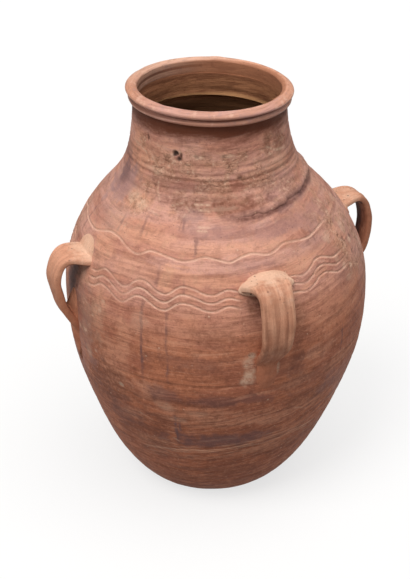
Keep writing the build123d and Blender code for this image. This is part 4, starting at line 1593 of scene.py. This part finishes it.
class JAR_OT_handles(bpy.types.Operator):
    """Make the four handles, each a grooved strap pressed on between two pads"""

    bl_idname = "jar.handles"
    bl_label = "Handles"

    def execute(self, context):
        for name, angle, lift, seed in HANDLES:
            self.make(context.scene.jar_sizes, name, angle, BELLY_HEIGHT + lift, seed)
        return {"FINISHED"}

    def make(self, sizes, name, angle, base, seed):
        """Make one handle."""
        outward, side = directions(angle)
        root = wall_radius(base + HANDLE_RISE) - HANDLE_ROOT_DEPTH
        shares, bends, foot, foot_width, lift, flared, bow, droop, slim = HANDLE_FORMS[name]
        base += lift
        corners = [(root, HANDLE_RISE - 3.0)]
        for reach, rise in shares:
            corners.append((BELLY_RADIUS + reach * HANDLE_REACH, rise * HANDLE_RISE))
        corners.append((root + 24, -30.0))
        line = rounded_line(corners, [share * HANDLE_RISE for share in bends], 2.0)
        length = np.linspace(0, 1, len(line))
        flare = 2 * sizes.flare * flared * (1 - step(length, 0.10, 0.32))
        waist = 1 - (1 - foot_width) * step(length, 0.45, 0.95)
        slimmed = 1 - (1 - slim) * step(length, 0.08, 0.35)
        width = STRAP_WIDTH * (1 + flare) * waist * slimmed
        thickness = STRAP_THICKNESS * (1 + 0.25 * flare) * (1 - 0.15 * step(length, 0.7, 1.0))
        wander = foot * step(length, 0.35, 1.0) + bow * np.sin(math.pi * length)
        strap = strap_mesh(line, width, thickness, wander, outward, side, base, droop)
        top = base + HANDLE_RISE
        lumps = [
            pressed_lump(angle, (top if at_top else base) + above, *lump)
            for at_top, above, *lump in HANDLE_LUMPS[name]
        ]
        take_up(strap)
        for lump in lumps:
            lump.select_set(True)
        bpy.ops.object.join()
        apply_modifier(strap, "REMESH", mode="VOXEL", voxel_size=sizes.voxel)
        apply_modifier(strap, "SMOOTH", factor=0.5, iterations=5)
        shape_handle(strap, name, line, outward, side, base, seed)
        self.part(strap, name, outward, base, top)
        bpy.data.objects.remove(strap)

    def part(self, strap, name, outward, base, top):
        """Part a handle into its strap and its two pads."""
        out, up = LOW_CUT_FACE
        top_cut = (outward * (wall_radius(top) + TOP_CUT_OUT) + UP * top, tuple(outward))
        low_place = outward * (BELLY_RADIUS + LOW_CUT_OUT) + UP * (base + LOW_CUT_RISE)
        low_cut = (low_place, tuple(outward * out + UP * up))
        for part, node, slot, cuts in (
            ("strap", "handle_strap", "handle_clay", [(*top_cut, True), (*low_cut, True)]),
            ("top_pad", "handle_top_pad", "pad_clay", [(*top_cut, False)]),
            ("bottom_pad", "handle_bottom_pad", "pad_clay", [(*low_cut, False)]),
        ):
            piece = cut_copy(strap, cuts)
            finish_piece(piece, f"{name}_{part}_clay", "strap_finish", [f"{name}_{node}"], slot)


# The photograph's camera: its place in metres, its turn against the way the jar leans, its lens
CAMERA_PLACE = (-0.8384, -1.8525, 1.479)
CAMERA_PITCH, CAMERA_YAW, CAMERA_ROLL = 29.43, -0.38, -0.40
CAMERA_LENS, CAMERA_SENSOR, CAMERA_REACH = 86.19, 36.0, 50.0
# Lamps: name, where the light comes from, strength, spread and colour
LAMPS = (
    ("key", (-1.5, -0.85, 2.7), 1.75, 0.5, (1.0, 0.985, 0.96)),
    ("top", (0.3, -0.6, 2.8), 1.35, 0.8, (1.0, 0.99, 0.98)),
)
# The floor as it throws light on the jar and as it is seen, how much of it shines by itself, and
# the light from all round
FLOOR_UNSEEN, FLOOR_SEEN, FLOOR_SHINE = (0.3, 0.29, 0.28), (0.86, 0.86, 0.86), 0.72
WHITE = (1.0, 1.0, 1.0, 1.0)
FILL_COLOUR, FILL_STRENGTH = (1.0, 0.98, 0.96, 1.0), 0.36


class JAR_OT_stage(bpy.types.Operator):
    """Set the jar on a pale floor, with soft light and the photograph's camera"""

    bl_idname = "jar.stage"
    bl_label = "Stage"

    def execute(self, context):
        self.set_floor(context)
        self.set_world(context)
        self.set_lamps()
        self.set_camera(context)
        context.scene.view_settings.view_transform = "Standard"
        return {"FINISHED"}

    def set_floor(self, context):
        """Lay a pale floor, which the jar stands on."""
        deselect()
        bpy.ops.mesh.primitive_plane_add(size=2 * context.scene.jar_sizes.floor_reach)
        floor = context.object
        floor.name = "floor"
        paint = Clay("floor_paint")
        seen = paint.take("ShaderNodeLightPath", {}, {}, 0)
        mirrored = paint.take("ShaderNodeLightPath", {}, {}, 3)
        shown = paint.most(seen, mirrored)
        colour = paint.mix(shown, FLOOR_UNSEEN, FLOOR_SEEN)
        matt = paint.take("ShaderNodeBsdfDiffuse", {}, {"Color": colour})
        white = paint.take("ShaderNodeEmission", {}, {"Color": WHITE, "Strength": 1.0})
        both = paint.take("ShaderNodeMixShader", {}, {0: shown * FLOOR_SHINE, 1: matt, 2: white})
        paint.add("ShaderNodeOutputMaterial", {}, {"Surface": both})
        floor.data.materials.append(paint.material)

    def set_world(self, context):
        """Make everything round the jar white, and let a little light come from it."""
        world = context.scene.world or bpy.data.worlds.new("studio")
        context.scene.world = world
        world.use_nodes = True
        nodes, links = world.node_tree.nodes, world.node_tree.links
        nodes.clear()
        path = nodes.new("ShaderNodeLightPath")
        fill, white = nodes.new("ShaderNodeBackground"), nodes.new("ShaderNodeBackground")
        fill.inputs["Color"].default_value = FILL_COLOUR
        fill.inputs["Strength"].default_value = FILL_STRENGTH
        white.inputs["Color"].default_value = WHITE
        mix, out = nodes.new("ShaderNodeMixShader"), nodes.new("ShaderNodeOutputWorld")
        links.new(path.outputs["Is Camera Ray"], mix.inputs[0])
        links.new(fill.outputs[0], mix.inputs[1])
        links.new(white.outputs[0], mix.inputs[2])
        links.new(mix.outputs[0], out.inputs["Surface"])

    def set_lamps(self):
        """Set the soft lamps."""
        for name, place, strength, spread, colour in LAMPS:
            lamp = bpy.data.lights.new(name, "SUN")
            lamp.energy, lamp.angle, lamp.color = strength, spread, colour
            holder = bpy.data.objects.new(name, lamp)
            bpy.context.scene.collection.objects.link(holder)
            holder.location = place
            holder.rotation_mode = "QUATERNION"
            holder.rotation_quaternion = (-Vector(place)).to_track_quat("-Z", "Y")

    def set_camera(self, context):
        """Look at the jar from where the photograph was taken."""
        lens = bpy.data.cameras.new("camera")
        lens.lens, lens.sensor_width, lens.clip_end = CAMERA_LENS, CAMERA_SENSOR, CAMERA_REACH
        camera = bpy.data.objects.new("camera", lens)
        context.scene.collection.objects.link(camera)
        right = Vector((*LEAN_WAY, 0.0)).normalized()
        ahead = Vector((-right.y, right.x, 0.0))
        pitch, yaw = math.radians(CAMERA_PITCH), math.radians(CAMERA_YAW)
        forward = (right * math.sin(yaw) + ahead * math.cos(yaw)) * math.cos(pitch)
        forward -= Vector((0, 0, math.sin(pitch)))
        camera.rotation_mode = "QUATERNION"
        turn = Quaternion((0, 0, 1), math.radians(CAMERA_ROLL))
        camera.rotation_quaternion = forward.to_track_quat("-Z", "Y") @ turn
        camera.location = CAMERA_PLACE
        context.scene.camera = camera


OPERATORS = (
    JAR_OT_finishes, JAR_OT_base, JAR_OT_walls, JAR_OT_seam_strip, JAR_OT_rim, JAR_OT_handles,
    JAR_OT_stage,
)


class JAR_PT_panel(bpy.types.Panel):
    """The steps that make the jar"""

    bl_idname = "JAR_PT_panel"
    bl_label = "Clay storage jar"
    bl_space_type = "VIEW_3D"
    bl_region_type = "UI"
    bl_category = "Jar"

    def draw(self, context):
        for operator in OPERATORS:
            self.layout.operator(operator.bl_idname)
        for group in (context.scene.jar_sizes, context.scene.jar_colours):
            for name in type(group).__annotations__:
                self.layout.prop(group, name)


CLASSES = (JarColours, JarSizes, *OPERATORS, JAR_PT_panel)


def register():
    for each in CLASSES:
        bpy.utils.register_class(each)
    bpy.types.Scene.jar_colours = bpy.props.PointerProperty(type=JarColours)
    bpy.types.Scene.jar_sizes = bpy.props.PointerProperty(type=JarSizes)


def unregister():
    del bpy.types.Scene.jar_sizes
    del bpy.types.Scene.jar_colours
    for each in reversed(CLASSES):
        bpy.utils.unregister_class(each)


def main():
    """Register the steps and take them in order."""
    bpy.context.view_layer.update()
    register()
    for operator in OPERATORS:
        group, step_name = operator.bl_idname.split(".")
        getattr(getattr(bpy.ops, group), step_name)()


if __name__ == "__main__":
    main()
